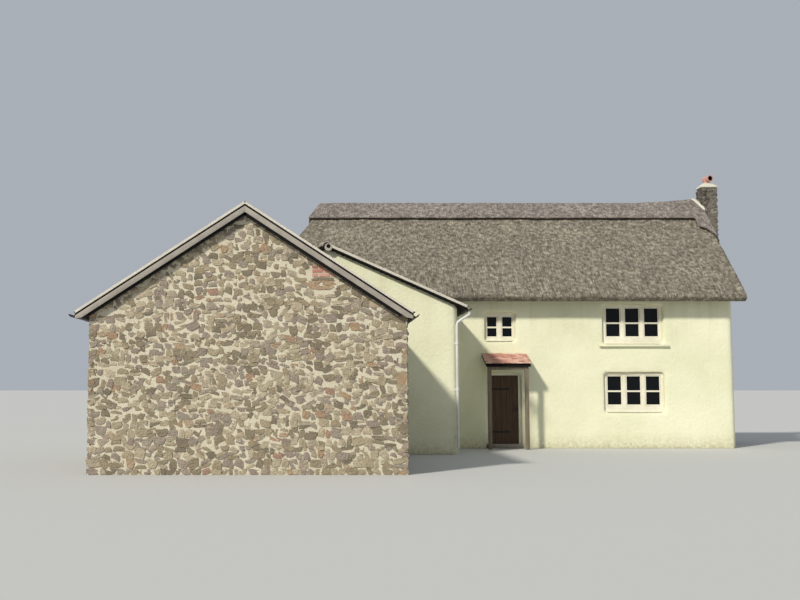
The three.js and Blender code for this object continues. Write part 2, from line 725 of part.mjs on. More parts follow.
// Outbuilding roof: heights of the outer face on either side of its apex
const BARN_RISE = (BARN_APEX_Z - BARN_EAVE_Z) / BARN_HALF_SPAN;
const BARN_DROP = BARN_SLAB * Math.hypot(1, BARN_RISE);
const barnRoofAt = (x) => BARN_APEX_Z - BARN_RISE * Math.abs(x - BARN_APEX_X);
const barnSoffitAt = (x) => barnRoofAt(x) - BARN_DROP;
const BARN_FRONT = -WING_OUT - BARN_LENGTH;
const BARN_BACK = -WING_OUT - GAP;

// The room that the outbuilding's roof and ridge take out of the wing's verge
function barnGablePassage() {
  const high = BARN_APEX_Z + CAP_CLEARANCE;
  const low = BARN_EAVE_Z - PAST;
  const half = BARN_HALF_SPAN + (high - BARN_APEX_Z) / BARN_RISE;
  return alongY(outline([
    [BARN_APEX_X - half, low],
    [BARN_APEX_X + half, low],
    [BARN_APEX_X + half, BARN_EAVE_Z],
    [BARN_APEX_X, high],
    [BARN_APEX_X - half, BARN_EAVE_Z],
  ]), BARN_FRONT, BARN_BACK + GAP / 2);
}

// A saddle of ridge tiles over two slopes
function ridgeCap(apexX, apexZ, rise, front, back) {
  const run = CAP_ARM / Math.hypot(1, rise);
  const lift = CAP_THICK * Math.hypot(1, rise);
  const seat = apexZ + GAP * Math.hypot(1, rise);
  return alongY(outline([
    [apexX - run, seat - rise * run],
    [apexX, seat],
    [apexX + run, seat - rise * run],
    [apexX + run, seat - rise * run + lift],
    [apexX, seat + lift],
    [apexX - run, seat - rise * run + lift],
  ]), front, back);
}

function addWing() {
  const front = -WING_OUT;
  const r = CORNER_RADIUS;
  const gable = outline([
    [WING_LEFT, 0],
    [WING_RIGHT, 0],
    [WING_RIGHT, wingSoffitAt(WING_RIGHT) - GAP],
    [WING_APEX_X, wingSoffitAt(WING_APEX_X) - GAP],
    [WING_LEFT, wingSoffitAt(WING_LEFT) - GAP],
  ]);
  const plan = new THREE.Shape();
  plan.moveTo(WING_LEFT, front);
  plan.lineTo(WING_RIGHT - r, front);
  plan.absarc(WING_RIGHT - r, front + r, r, -Math.PI / 2, 0, false);
  plan.lineTo(WING_RIGHT, front + WING_WALL);
  plan.lineTo(WING_LEFT, front + WING_WALL);
  plan.closePath();
  const wall = alongY(gable, front, front + WING_WALL).intersect(alongZ(plan, 0, WING_APEX_Z));
  addSolid('wing_gable_wall', wall, colours.limewash);

  const sideBack = -GAP;
  const sideFront = front + WING_WALL + GAP;
  const rightWall = outline([
    [WING_RIGHT - WING_WALL, 0],
    [WING_RIGHT, 0],
    [WING_RIGHT, wingSoffitAt(WING_RIGHT) - GAP],
    [WING_RIGHT - WING_WALL, wingSoffitAt(WING_RIGHT - WING_WALL) - GAP],
  ]);
  const leftWall = outline([
    [WING_LEFT, 0],
    [WING_LEFT + WING_WALL, 0],
    [WING_LEFT + WING_WALL, wingSoffitAt(WING_LEFT + WING_WALL) - GAP],
    [WING_LEFT, wingSoffitAt(WING_LEFT) - GAP],
  ]);
  const thatch = thatchEnvelope(GAP, EAVE_LOW_Z - GAP, VERGE_X);
  addSolid('wing_right_wall', alongY(rightWall, sideFront, sideBack).subtract(thatch), colours.limewash);
  addSolid('wing_left_wall', alongY(leftWall, sideFront, sideBack).subtract(thatch), colours.limewash);

  const behind = block(
    [WING_LEFT - FAR, WING_EAVE_X + PAST],
    [-GAP, WING_ROOF_BACK + PAST],
    [0, EAVE_LOW_Z + PAST],
  );
  const passage = barnGablePassage();
  const trim = (body) => body.subtract(thatch).subtract(behind).subtract(passage);
  const leftEdge = WING_LEFT - WING_EAVE_OVER;
  const rightSlab = outline([
    [WING_APEX_X + GAP / 2, wingSoffitAt(WING_APEX_X)],
    [WING_EAVE_X, wingSoffitAt(WING_EAVE_X)],
    [WING_EAVE_X, WING_EAVE_Z],
    [WING_APEX_X + GAP / 2, WING_APEX_Z],
  ]);
  const leftSlab = outline([
    [leftEdge, wingSoffitAt(leftEdge)],
    [WING_APEX_X - GAP / 2, wingSoffitAt(WING_APEX_X)],
    [WING_APEX_X - GAP / 2, WING_APEX_Z],
    [leftEdge, wingRoofAt(leftEdge)],
  ]);
  const verge = front - WING_VERGE;
  const cap = ridgeCap(WING_APEX_X, WING_APEX_Z, WING_RISE, verge, WING_ROOF_BACK);
  addSolid('wing_roof_right', trim(alongY(rightSlab, verge, WING_ROOF_BACK)), colours.slate);
  addSolid('wing_roof_left', trim(alongY(leftSlab, verge, WING_ROOF_BACK)), colours.slate);
  addSolid('wing_ridge_cap', trim(cap), colours.mortar);
}

// Half-round gutter hung against the cut ends of a slope
function gutter(edgeX, edgeZ, side, front, back) {
  const centreX = edgeX + side * (GUTTER_RADIUS + GAP);
  const shape = new THREE.Shape();
  shape.absarc(centreX, edgeZ, GUTTER_RADIUS, Math.PI, 2 * Math.PI, false);
  shape.absarc(centreX, edgeZ, GUTTER_RADIUS - GUTTER_WALL, 2 * Math.PI, Math.PI, true);
  shape.closePath();
  return alongY(shape, front, back);
}

function addRainwater() {
  const gutterZ = WING_EAVE_Z - WING_DROP / 2;
  const verge = -WING_OUT - WING_VERGE;
  addSolid('wing_gutter', gutter(WING_EAVE_X, gutterZ, 1, verge, -WING_GUTTER_STOP), colours.darkGutter);
  const outletX = WING_EAVE_X + GUTTER_RADIUS + GAP;
  const outletZ = gutterZ - GUTTER_RADIUS - GAP;
  const pipeX = WING_RIGHT - PIPE_INSET;
  const pipeY = -WING_OUT - PIPE_RADIUS - PIPE_STAND_OFF;
  const outletY = verge + OUTLET_INSET;
  const route = new THREE.CatmullRomCurve3([
    new THREE.Vector3(outletX, outletY, outletZ),
    new THREE.Vector3(outletX, outletY, outletZ - PIPE_NECK),
    new THREE.Vector3((outletX + pipeX) / 2, (outletY + pipeY) / 2, outletZ - PIPE_SLANT),
    new THREE.Vector3(pipeX, pipeY, outletZ - PIPE_BEND),
    new THREE.Vector3(pipeX, pipeY, outletZ - PIPE_STRAIGHT),
    new THREE.Vector3(pipeX, pipeY, PIPE_MIDDLE_Z),
    new THREE.Vector3(pipeX, pipeY, PIPE_FOOT_Z),
  ], false, 'catmullrom', PIPE_TENSION);
  const ring = new THREE.Shape();
  ring.absarc(0, 0, PIPE_RADIUS, 0, 2 * Math.PI, false);
  const pipe = new THREE.ExtrudeGeometry(ring, {
    steps: PIPE_STEPS,
    extrudePath: route,
    curveSegments: CURVE_STEPS,
  });
  addSolid('wing_downpipe', solid(pipe), colours.whitePipe);

  const barnZ = BARN_EAVE_Z - BARN_DROP / 2;
  const rightEdge = BARN_APEX_X + BARN_HALF_SPAN;
  const leftEdge = BARN_APEX_X - BARN_HALF_SPAN;
  const barnFront = BARN_FRONT - BARN_VERGE;
  const barnBack = BARN_BACK - BARN_GUTTER_STOP;
  addSolid('barn_gutter_right', gutter(rightEdge, barnZ, 1, barnFront, barnBack), colours.darkGutter);
  addSolid('barn_gutter_left', gutter(leftEdge, barnZ, -1, barnFront, barnBack), colours.darkGutter);
}

function addBarn() {
  const gable = outline([
    [BARN_LEFT, 0],
    [BARN_RIGHT, 0],
    [BARN_RIGHT, barnSoffitAt(BARN_RIGHT) - GAP],
    [BARN_APEX_X, barnSoffitAt(BARN_APEX_X) - GAP],
    [BARN_LEFT, barnSoffitAt(BARN_LEFT) - GAP],
  ]);
  addSolid('barn_front_gable', alongY(gable, BARN_FRONT, BARN_FRONT + BARN_WALL), colours.rubble);
  addSolid('barn_back_gable', alongY(gable, BARN_BACK - BARN_WALL, BARN_BACK), colours.rubble);

  const sideFront = BARN_FRONT + BARN_WALL + GAP;
  const sideBack = BARN_BACK - BARN_WALL - GAP;
  const rightWall = outline([
    [BARN_RIGHT - BARN_WALL, 0],
    [BARN_RIGHT, 0],
    [BARN_RIGHT, barnSoffitAt(BARN_RIGHT) - GAP],
    [BARN_RIGHT - BARN_WALL, barnSoffitAt(BARN_RIGHT - BARN_WALL) - GAP],
  ]);
  const leftWall = outline([
    [BARN_LEFT, 0],
    [BARN_LEFT + BARN_WALL, 0],
    [BARN_LEFT + BARN_WALL, barnSoffitAt(BARN_LEFT + BARN_WALL) - GAP],
    [BARN_LEFT, barnSoffitAt(BARN_LEFT) - GAP],
  ]);
  const doorFront = BARN_FRONT + BARN_DOOR_FRONT;
  const doorBack = doorFront + BARN_DOOR_WIDTH;
  const doorHole = block(
    [BARN_LEFT - PAST, BARN_LEFT + BARN_WALL + PAST],
    [doorFront, doorBack],
    [-JUST_PAST, BARN_DOOR_HEAD],
  );
  addSolid('barn_right_wall', alongY(rightWall, sideFront, sideBack), colours.rubble);
  addSolid('barn_left_wall', alongY(leftWall, sideFront, sideBack).subtract(doorHole), colours.rubble);

  const frame = outline([
    [doorFront + GAP, 0],
    [doorFront + DOOR_FRAME, 0],
    [doorFront + DOOR_FRAME, BARN_DOOR_HEAD - DOOR_FRAME],
    [doorBack - DOOR_FRAME, BARN_DOOR_HEAD - DOOR_FRAME],
    [doorBack - DOOR_FRAME, 0],
    [doorBack - GAP, 0],
    [doorBack - GAP, BARN_DOOR_HEAD - GAP],
    [doorFront + GAP, BARN_DOOR_HEAD - GAP],
  ]);
  const frameLeft = BARN_LEFT + REVEAL;
  const doorLeft = frameLeft + BARN_DOOR_SET_BACK;
  addSolid('barn_door_frame', alongX(frame, frameLeft, frameLeft + BARN_DOOR_FRAME_DEPTH), colours.oldWood);
  addSolid('barn_door', block(
    [doorLeft, doorLeft + DOOR_LEAF],
    [doorFront + DOOR_FRAME + GAP, doorBack - DOOR_FRAME - DOOR_CLEAR],
    [BARN_DOOR_LIFT, BARN_DOOR_HEAD - DOOR_FRAME - DOOR_CLEAR],
  ), colours.oldWood);

  const verge = BARN_FRONT - BARN_VERGE;
  const slab = (side) => alongY(outline([
    [BARN_APEX_X + side * GAP / 2, barnSoffitAt(BARN_APEX_X)],
    [BARN_APEX_X + side * BARN_HALF_SPAN, BARN_EAVE_Z - BARN_DROP],
    [BARN_APEX_X + side * BARN_HALF_SPAN, BARN_EAVE_Z],
    [BARN_APEX_X + side * GAP / 2, BARN_APEX_Z],
  ]), verge + BARN_SLAB_SET_BACK, BARN_BACK);
  addSolid('barn_roof_right', slab(1), colours.slate);
  addSolid('barn_roof_left', slab(-1), colours.slate);
  addSolid('barn_ridge_cap', ridgeCap(BARN_APEX_X, BARN_APEX_Z, BARN_RISE, verge, BARN_BACK), colours.slate);

  const deep = BARGE_DEPTH * Math.hypot(1, BARN_RISE);
  const boardEnd = BARN_EAVE_Z - BARN_DROP - GAP;
  const snip = BARN_HALF_SPAN - BARGE_SNIP;
  const board = (side) => alongY(outline([
    [BARN_APEX_X + side * GAP / 2, barnSoffitAt(BARN_APEX_X) - GAP],
    [BARN_APEX_X + side * BARN_HALF_SPAN, boardEnd],
    [BARN_APEX_X + side * BARN_HALF_SPAN, boardEnd - BARGE_FOOT],
    [BARN_APEX_X + side * snip, barnSoffitAt(BARN_APEX_X + side * snip) - deep],
    [BARN_APEX_X + side * GAP / 2, barnSoffitAt(BARN_APEX_X) - deep],
  ]), verge, verge + BARGE_THICK);
  addSolid('barn_bargeboard_right', board(1), colours.oldWood);
  addSolid('barn_bargeboard_left', board(-1), colours.oldWood);
}

addHouseWalls();
addFloors();
addThatch();
addChimney();
for (const w of [...frontWindows, ...backWindows]) {
  addWindow(w);
}
addLedge(frontWindows[0]);
addFrontDoor();
addPorch();
addWing();
addBarn();
addRainwater();

// The part's origin is the middle of its footprint at ground level
const box = new THREE.Box3().setFromObject(house);
const middle = box.getCenter(new THREE.Vector3());
house.position.set(-middle.x, -middle.y, 0);

const cottage = new THREE.Group();
cottage.add(house);

export default cottage;
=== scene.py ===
import json
import math
import random

import bpy
from mathutils import Matrix, Vector
from mathutils import noise as noise_of


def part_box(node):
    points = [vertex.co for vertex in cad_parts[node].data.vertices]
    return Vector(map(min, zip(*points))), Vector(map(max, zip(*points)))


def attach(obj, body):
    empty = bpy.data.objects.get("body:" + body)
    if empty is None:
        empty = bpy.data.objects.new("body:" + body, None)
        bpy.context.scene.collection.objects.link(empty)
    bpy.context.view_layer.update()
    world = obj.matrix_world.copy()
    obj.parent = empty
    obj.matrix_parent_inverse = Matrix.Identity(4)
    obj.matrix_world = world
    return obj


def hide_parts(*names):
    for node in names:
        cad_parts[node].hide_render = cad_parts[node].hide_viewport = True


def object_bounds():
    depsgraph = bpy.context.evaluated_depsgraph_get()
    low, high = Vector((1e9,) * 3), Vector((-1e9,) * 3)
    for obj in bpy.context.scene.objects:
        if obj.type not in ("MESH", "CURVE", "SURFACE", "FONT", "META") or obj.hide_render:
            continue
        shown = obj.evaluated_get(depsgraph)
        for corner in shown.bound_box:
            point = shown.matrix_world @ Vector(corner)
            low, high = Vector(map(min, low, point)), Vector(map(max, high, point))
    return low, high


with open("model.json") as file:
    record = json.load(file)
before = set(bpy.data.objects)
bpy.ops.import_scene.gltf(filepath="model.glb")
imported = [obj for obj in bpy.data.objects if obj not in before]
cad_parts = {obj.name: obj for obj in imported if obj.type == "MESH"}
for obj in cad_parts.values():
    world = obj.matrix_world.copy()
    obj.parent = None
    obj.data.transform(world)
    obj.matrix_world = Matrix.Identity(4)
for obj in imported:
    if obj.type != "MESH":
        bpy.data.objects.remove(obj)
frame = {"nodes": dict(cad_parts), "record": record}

nodes = frame["nodes"]
cad_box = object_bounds()

# Camera: at eye height, 28 m in front of the long wall, looking slightly up.
# The picture is the part of the photograph's frame that the cottage fills, hence the small shift.
EYE = Vector((-3.636, -26.760, 1.62))
LOOK_UP = math.radians(4.944)
camera_data = bpy.data.cameras.new("camera")
camera_data.sensor_width = 36.0
camera_data.lens = 46.2
camera_data.shift_x = 0.1
camera_data.clip_end = 1000.0
camera = bpy.data.objects.new("camera", camera_data)
camera.location = EYE
camera.rotation_euler = (math.radians(90) + LOOK_UP, 0, 0)
bpy.context.scene.collection.objects.link(camera)
bpy.context.scene.camera = camera

# Studio: a pale floor, a pale even surround, and one broad soft key high on the front left, which
# lights the gables and leaves the eaves' own shade on the walls.
FLOOR_COLOUR = (0.52, 0.52, 0.50, 1)
SURROUND = (0.80, 0.86, 0.95, 1)
FILL_STRENGTH = 0.50
KEY_STRENGTH = 3.5
KEY_SOFTNESS = math.radians(5)
KEY_FROM_LEFT = math.radians(40)
KEY_UP = math.radians(36)
KEY_COLOUR = (1.0, 0.96, 0.88)
FLOOR_WIDE = 3000
FLOOR_BELOW = 0.002

bpy.ops.object.select_all(action="DESELECT")
bpy.ops.mesh.primitive_plane_add(size=FLOOR_WIDE, location=(0, 0, -FLOOR_BELOW))
floor = bpy.context.active_object
floor.name = "studio_floor"
floor_material = bpy.data.materials.new("studio_floor")
floor_material.use_nodes = True
floor_shader = floor_material.node_tree.nodes["Principled BSDF"]
floor_shader.inputs["Base Color"].default_value = FLOOR_COLOUR
floor_shader.inputs["Roughness"].default_value = 0.95
floor.data.materials.append(floor_material)

world = bpy.data.worlds.new("surround")
bpy.context.scene.world = world
world.use_nodes = True
background = world.node_tree.nodes["Background"]
background.inputs["Color"].default_value = SURROUND
background.inputs["Strength"].default_value = FILL_STRENGTH

key_data = bpy.data.lights.new("key", "SUN")
key_data.energy = KEY_STRENGTH
key_data.angle = KEY_SOFTNESS
key_data.color = KEY_COLOUR
key = bpy.data.objects.new("key", key_data)
key.rotation_euler = (math.radians(90) - KEY_UP, 0, -KEY_FROM_LEFT)
bpy.context.scene.collection.objects.link(key)
bpy.context.scene.view_settings.view_transform = "Standard"


# Cob walls of the house: earth walls 0.6 m thick under many coats of limewash. The faces wander
# by a centimetre or two and every arris is soft. The house's five walls become one skin, and the
# wing's three another.
LIMEWASH_CREAM, LIMEWASH_DULL, LIMEWASH_RUNS, SPLASH_BROWN = "e9e8ca", "d2d2aa", "c9c29c", "a79b7c"
DULL_SHARE, RUNS_SHARE, SPLASH_SHARE = 0.55, 0.4, 0.8
RUNS_DRAWN_OUT = (5.0, 5.0, 0.35)
RUNS_FROM, RUNS_FULL = 2.6, 4.0
SPLASH_HIGH = 0.45
WALL_WANDER, WALL_WANDER_WIDE = 0.022, 0.9
WALL_VOXEL = 0.06
WALL_FACES_KEPT = 0.3
DULL_SPECULAR = 0.25


def linear(code):
    """A colour written as six hex digits, in Blender's linear values."""
    values = [int(code[i:i + 2], 16) / 255 for i in (0, 2, 4)]
    return [v / 12.92 if v < 0.04045 else ((v + 0.055) / 1.055) ** 2.4 for v in values] + [1]


def add(tree, kind, inputs=None, **settings):
    """A shader node with its settings, and with links, hex colours or values on its inputs."""
    made = tree.nodes.new(kind)
    for name, value in settings.items():
        setattr(made, name, value)
    for name, value in (inputs or {}).items():
        if isinstance(value, bpy.types.NodeSocket):
            tree.links.new(value, made.inputs[name])
        else:
            made.inputs[name].default_value = linear(value) if isinstance(value, str) else value
    return made


def ramp(tree, value, stops):
    """A colour ramp whose stops are pairs of place and hex colour."""
    made = add(tree, "ShaderNodeValToRGB", {"Fac": value})
    elements = made.color_ramp.elements
    while len(elements) < len(stops):
        elements.new(0.5)
    for element, (place, code) in zip(elements, stops):
        element.position = place
        element.color = linear(code)
    return made.outputs["Color"]


def combine(tree, operation, first, second):
    """One step of arithmetic between two masks or values."""
    return add(tree, "ShaderNodeMath", {0: first, 1: second}, operation=operation).outputs[0]


def times(tree, first, second):
    return combine(tree, "MULTIPLY", first, second)


def weighed(tree, *masks):
    """Adds masks up, each by its own weight."""
    total = 0.0
    for mask, weight in masks:
        total = combine(tree, "ADD", total, times(tree, mask, weight))
    return total


def vector_step(tree, operation, first, second=(0, 0, 0)):
    """One step of vector arithmetic, with its node given back."""
    return add(tree, "ShaderNodeVectorMath", {0: first, 1: second}, operation=operation)


def stretched(tree, vector, scale):
    """The coordinates drawn out by a scale along each axis."""
    return vector_step(tree, "MULTIPLY", vector, scale).outputs[0]


def cover(tree, below, above, mask, share=None, way="MIX"):
    """Lays one colour over another by a mask, or by a share of it."""
    mask = times(tree, mask, share) if share else mask
    made = add(tree, "ShaderNodeMix", {"Factor": mask, 6: below, 7: above}, data_type="RGBA",
               blend_type=way)
    return made.outputs[2]


def span(tree, value, low, high):
    """Maps a value's range on to 0 to 1 and holds it there."""
    made = add(tree, "ShaderNodeMapRange", {"Value": value, "From Min": low, "From Max": high})
    return made.outputs["Result"]


def noise(tree, vector, scale, detail=4.0, rough=0.55):
    made = add(tree, "ShaderNodeTexNoise", {
        "Vector": vector, "Scale": scale, "Detail": detail, "Roughness": rough})
    return made.outputs["Fac"]


def end_finish(made, colour, height, depth, invert=False):
    """Gives a finish its colour and its relief."""
    tree = made.node_tree
    shader = tree.nodes["Principled BSDF"]
    tree.links.new(colour, shader.inputs["Base Color"])
    relief = add(tree, "ShaderNodeBump", {"Height": height, "Distance": depth, "Strength": 1.0},
                 invert=invert)
    tree.links.new(relief.outputs["Normal"], shader.inputs["Normal"])
    return made


# Weather: broad patches and fine grain in one group, used by nearly every finish of the house.
# Each mask has its scale, its detail and roughness, and the range of noise that it is cut from.
WEATHER_MASKS = (("Patches", "Patch Scale", 5.0, 0.6, 0.35, 0.68),
                 ("Grain", "Grain Scale", 6.0, 0.65, 0.3, 0.72))
weather = bpy.data.node_groups.new("weather", "ShaderNodeTree")
weather.interface.new_socket(name="Place", in_out="INPUT", socket_type="NodeSocketVector")
for mask, scale, *_ in WEATHER_MASKS:
    weather.interface.new_socket(name=scale, in_out="INPUT", socket_type="NodeSocketFloat")
    weather.interface.new_socket(name=mask, in_out="OUTPUT", socket_type="NodeSocketFloat")
given = weather.nodes.new("NodeGroupInput").outputs
wanted = weather.nodes.new("NodeGroupOutput").inputs
for mask, scale, detail, rough, low, high in WEATHER_MASKS:
    spots = noise(weather, given["Place"], given[scale], detail, rough)
    weather.links.new(span(weather, spots, low, high), wanted[mask])


def start_finish(name, roughness, patch, grain, stretch=None):
    """A new material with the place on its surface and the two masks of the weather group."""
    made = bpy.data.materials.new(name)
    made.use_nodes = True
    tree = made.node_tree
    shader = tree.nodes["Principled BSDF"]
    shader.inputs["Roughness"].default_value = roughness
    shader.inputs["Specular IOR Level"].default_value = DULL_SPECULAR
    place = add(tree, "ShaderNodeTexCoord").outputs["Object"]
    place = stretched(tree, place, stretch) if stretch else place
    masks = add(tree, "ShaderNodeGroup", {"Place": place, "Patch Scale": patch, "Grain Scale": grain},
                node_tree=weather).outputs
    return made, tree, place, masks["Patches"], masks["Grain"]


# The limewash is duller in patches, streaked under the eaves and splashed brown at the foot
limewash, tree, place, patches, grain = start_finish("limewash", 0.9, 0.7, 14.0)
height = add(tree, "ShaderNodeSeparateXYZ", {0: place}).outputs["Z"]
runs = noise(tree, stretched(tree, place, RUNS_DRAWN_OUT), 1.0)
runs = times(tree, span(tree, runs, 0.5, 0.75), span(tree, height, RUNS_FROM, RUNS_FULL))
splash = times(tree, span(tree, height, SPLASH_HIGH, 0.0), grain)
colour = cover(tree, LIMEWASH_CREAM, LIMEWASH_DULL, patches, DULL_SHARE)
colour = cover(tree, colour, LIMEWASH_RUNS, runs, RUNS_SHARE)
colour = cover(tree, colour, SPLASH_BROWN, splash, SPLASH_SHARE)
end_finish(limewash, colour, grain, 0.006)


def select(*pieces):
    """Selects pieces and nothing else, the first of them active."""
    bpy.ops.object.select_all(action="DESELECT")
    for piece in pieces:
        piece.select_set(True)
    bpy.context.view_layer.objects.active = pieces[0]


def joined(name, parts):
    """Joins parts to one object with a name."""
    select(*parts)
    if len(parts) > 1:
        bpy.ops.object.join()
    parts[0].name = name
    parts[0].data.name = name
    return parts[0]


def edit_all(*steps):
    """Edits the whole of the active mesh by steps, each an operator and its settings."""
    bpy.ops.object.mode_set(mode="EDIT")
    bpy.ops.mesh.select_all(action="SELECT")
    for operator, settings in steps:
        operator(**settings)
    bpy.ops.object.mode_set(mode="OBJECT")


def joined_copy(name, *sources):
    """One new object from copies of CAD nodes, its loose triangles merged."""
    copies = []
    for source in sources:
        copied = nodes[source].copy()
        copied.data = nodes[source].data.copy()
        copied.parent = None
        bpy.context.scene.collection.objects.link(copied)
        copies.append(copied)
    made = joined(name, copies)
    edit_all((bpy.ops.mesh.remove_doubles, {"threshold": 0.0001}))
    return made


def apply_modifier(piece, name, kind, **settings):
    """Adds one modifier with its settings and applies it."""
    select(piece)
    made = piece.modifiers.new(name, kind)
    for key_name, value in settings.items():
        setattr(made, key_name, value)
    bpy.ops.object.modifier_apply(modifier=made.name)


def voxel_skin(piece, voxel_size):
    """Turns a piece's surface into one even skin that can be worked."""
    apply_modifier(piece, "skin", "REMESH", mode="VOXEL", voxel_size=voxel_size, adaptivity=0.0)


def smooth_under(degrees):
    """Smooth shading on the active piece where faces meet at less than an angle."""
    bpy.ops.object.shade_smooth_by_angle(angle=math.radians(degrees))


def wander(piece, size, amount, name, group="", mid_level=0.5):
    """Moves the surface in and out by soft clouds of a size; a higher middle level moves it in more."""
    clouds = bpy.data.textures.new(name, "CLOUDS")
    clouds.noise_scale = size
    clouds.noise_depth = 2
    apply_modifier(piece, name, "DISPLACE", texture=clouds, texture_coords="LOCAL",
                   strength=amount, mid_level=mid_level, vertex_group=group)


def finished(piece, material, slot, *replaced):
    """Gives a piece its finish, its body and the CAD nodes that it stands for, and trims it to the
    cottage's own box, so that no lump or splinter stands outside the real size."""
    low, high = cad_box
    for vertex in piece.data.vertices:
        vertex.co = [min(max(vertex.co[i], low[i]), high[i]) for i in range(3)]
    piece.data.materials.clear()
    piece.data.materials.append(material)
    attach(piece, "root")
    if replaced:
        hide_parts(*replaced)


def cob_skin(name, *walls):
    """Several CAD walls as one soft, slightly wandering skin."""
    skin = joined_copy(name, *walls)
    voxel_skin(skin, WALL_VOXEL)
    wander(skin, WALL_WANDER_WIDE, WALL_WANDER, name + "_wander")
    apply_modifier(skin, "fewer", "DECIMATE", ratio=WALL_FACES_KEPT)
    smooth_under(50)
    finished(skin, limewash, "limewash", *walls)


cob_skin("house_cob_walls", "front_wall", "front_wall_behind_wing", "back_wall", "left_end_wall",
         "right_gable_wall")
cob_skin("wing_cob_walls", "wing_gable_wall", "wing_right_wall", "wing_left_wall")


# Thatch coat: combed wheat reed about half a metre thick, laid from eaves to ridge and dressed
# smooth, so it has soft hollows, fine dimples of reed ends and rounded eaves and verges.
THATCH_VOXEL = 0.05
THATCH_TONES = ("4d483e", "847d6f", "bdb4a2")
THATCH_WET = "4d483e"
HOLLOWS_WIDE, HOLLOWS_DEEP = 0.8, 0.05
DIMPLES_WIDE, DIMPLES_DEEP = 0.16, 0.035
MOSTLY_INWARD = 0.65
FACES_DOWN = -0.3
UNDERSIDE_KEPT = 0.55
REED_ENDS, STRAWS = (26.0, 13.0, 1.0), (95.0, 16.0, 1.0)


def reed_direction(piece):
    """Stores on each vertex how far it lies across and along the reeds."""
    attribute = piece.data.attributes.new("reed", "FLOAT_VECTOR", "POINT")
    for vertex, stored in zip(piece.data.vertices, attribute.data):
        x, y, z = vertex.co
        on_hip = abs(vertex.normal.x) > abs(vertex.normal.y)
        across, along = (y, math.hypot(x, z)) if on_hip else (x, math.hypot(y - ridge_y, z))
        stored.vector = (across, along, 0.0)


def thatch_finish(name, tones):
    """Reed ends and straws in three tones, darker where the coat holds the wet."""
    made, tree, _, patches, grain = start_finish(name, 0.95, 1.1, 9.0)
    reed = add(tree, "ShaderNodeAttribute", attribute_name="reed").outputs["Vector"]
    ends = noise(tree, stretched(tree, reed, REED_ENDS), 1.0, 3.0, 0.6)
    straws = noise(tree, stretched(tree, reed, STRAWS), 1.0, 3.0, 0.7)
    tone = weighed(tree, (ends, 0.45), (straws, 0.25), (grain, 0.30))
    colour = ramp(tree, span(tree, tone, 0.34, 0.68), list(zip((0.0, 0.5, 1.0), tones)))
    colour = cover(tree, colour, THATCH_WET, patches, 0.25)
    relief = weighed(tree, (ends, 0.6), (grain, 0.7), (straws, 0.2))
    return end_finish(made, colour, relief, 0.035)


thatch = thatch_finish("thatch", THATCH_TONES)
ridge_low, ridge_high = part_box("thatch_ridge")
ridge_y = (ridge_low[1] + ridge_high[1]) / 2

THATCH_SLOPES = ("thatch_front_slope", "thatch_back_slope", "thatch_hip_end")
coat = joined_copy("thatch_coat", *THATCH_SLOPES)
voxel_skin(coat, THATCH_VOXEL)
top = coat.vertex_groups.new(name="top")
top.add([v.index for v in coat.data.vertices if v.normal.z > FACES_DOWN], 1.0, "REPLACE")
wander(coat, HOLLOWS_WIDE, HOLLOWS_DEEP, "thatch_hollows", "top", MOSTLY_INWARD)
wander(coat, DIMPLES_WIDE, DIMPLES_DEEP, "thatch_dimples", "top", MOSTLY_INWARD)
under = coat.vertex_groups.new(name="under")
under.add([v.index for v in coat.data.vertices if v.normal.z < FACES_DOWN], 1.0, "REPLACE")
apply_modifier(coat, "fewer", "DECIMATE", ratio=UNDERSIDE_KEPT, vertex_group="under")
smooth_under(60)
reed_direction(coat)
finished(coat, thatch, "thatch", *THATCH_SLOPES)

# Block ridge: a thicker saddle of fresh reed on the crest, its lower edge cut to a crisp step. The
# crest rises a little over its last two metres to the stack.
RIDGE_TONES = ("5a524b", "88807a", "bab1a6")
RIDGE_VOXEL = 0.035
RIDGE_HOLLOWS_WIDE, RIDGE_HOLLOWS_DEEP = 0.5, 0.03
RIDGE_DIMPLES_WIDE, RIDGE_DIMPLES_DEEP = 0.12, 0.016
RIDGE_LIFT, RIDGE_LIFT_LONG, RIDGE_PEAK_X = 0.115, 2.3, 7.70
CREST_FROM, CREST_FADE = 0.5, 0.4
ridge_finish = thatch_finish("thatch_ridge", RIDGE_TONES)
saddle = joined_copy("thatch_block_ridge", "thatch_ridge")
voxel_skin(saddle, RIDGE_VOXEL)
wander(saddle, RIDGE_HOLLOWS_WIDE, RIDGE_HOLLOWS_DEEP, "ridge_hollows")
wander(saddle, RIDGE_DIMPLES_WIDE, RIDGE_DIMPLES_DEEP, "ridge_dimples")
for vertex in saddle.data.vertices:
    near_stack = min(max((vertex.co.x - RIDGE_PEAK_X + RIDGE_LIFT_LONG) / RIDGE_LIFT_LONG, 0), 1)
    near_crest = min(max((vertex.co.z - ridge_high[2] + CREST_FROM) / CREST_FADE, 0), 1)
    vertex.co.z += RIDGE_LIFT * near_stack ** 2 * near_crest
smooth_under(60)
reed_direction(saddle)
finished(saddle, ridge_finish, "thatch_ridge", "thatch_ridge")


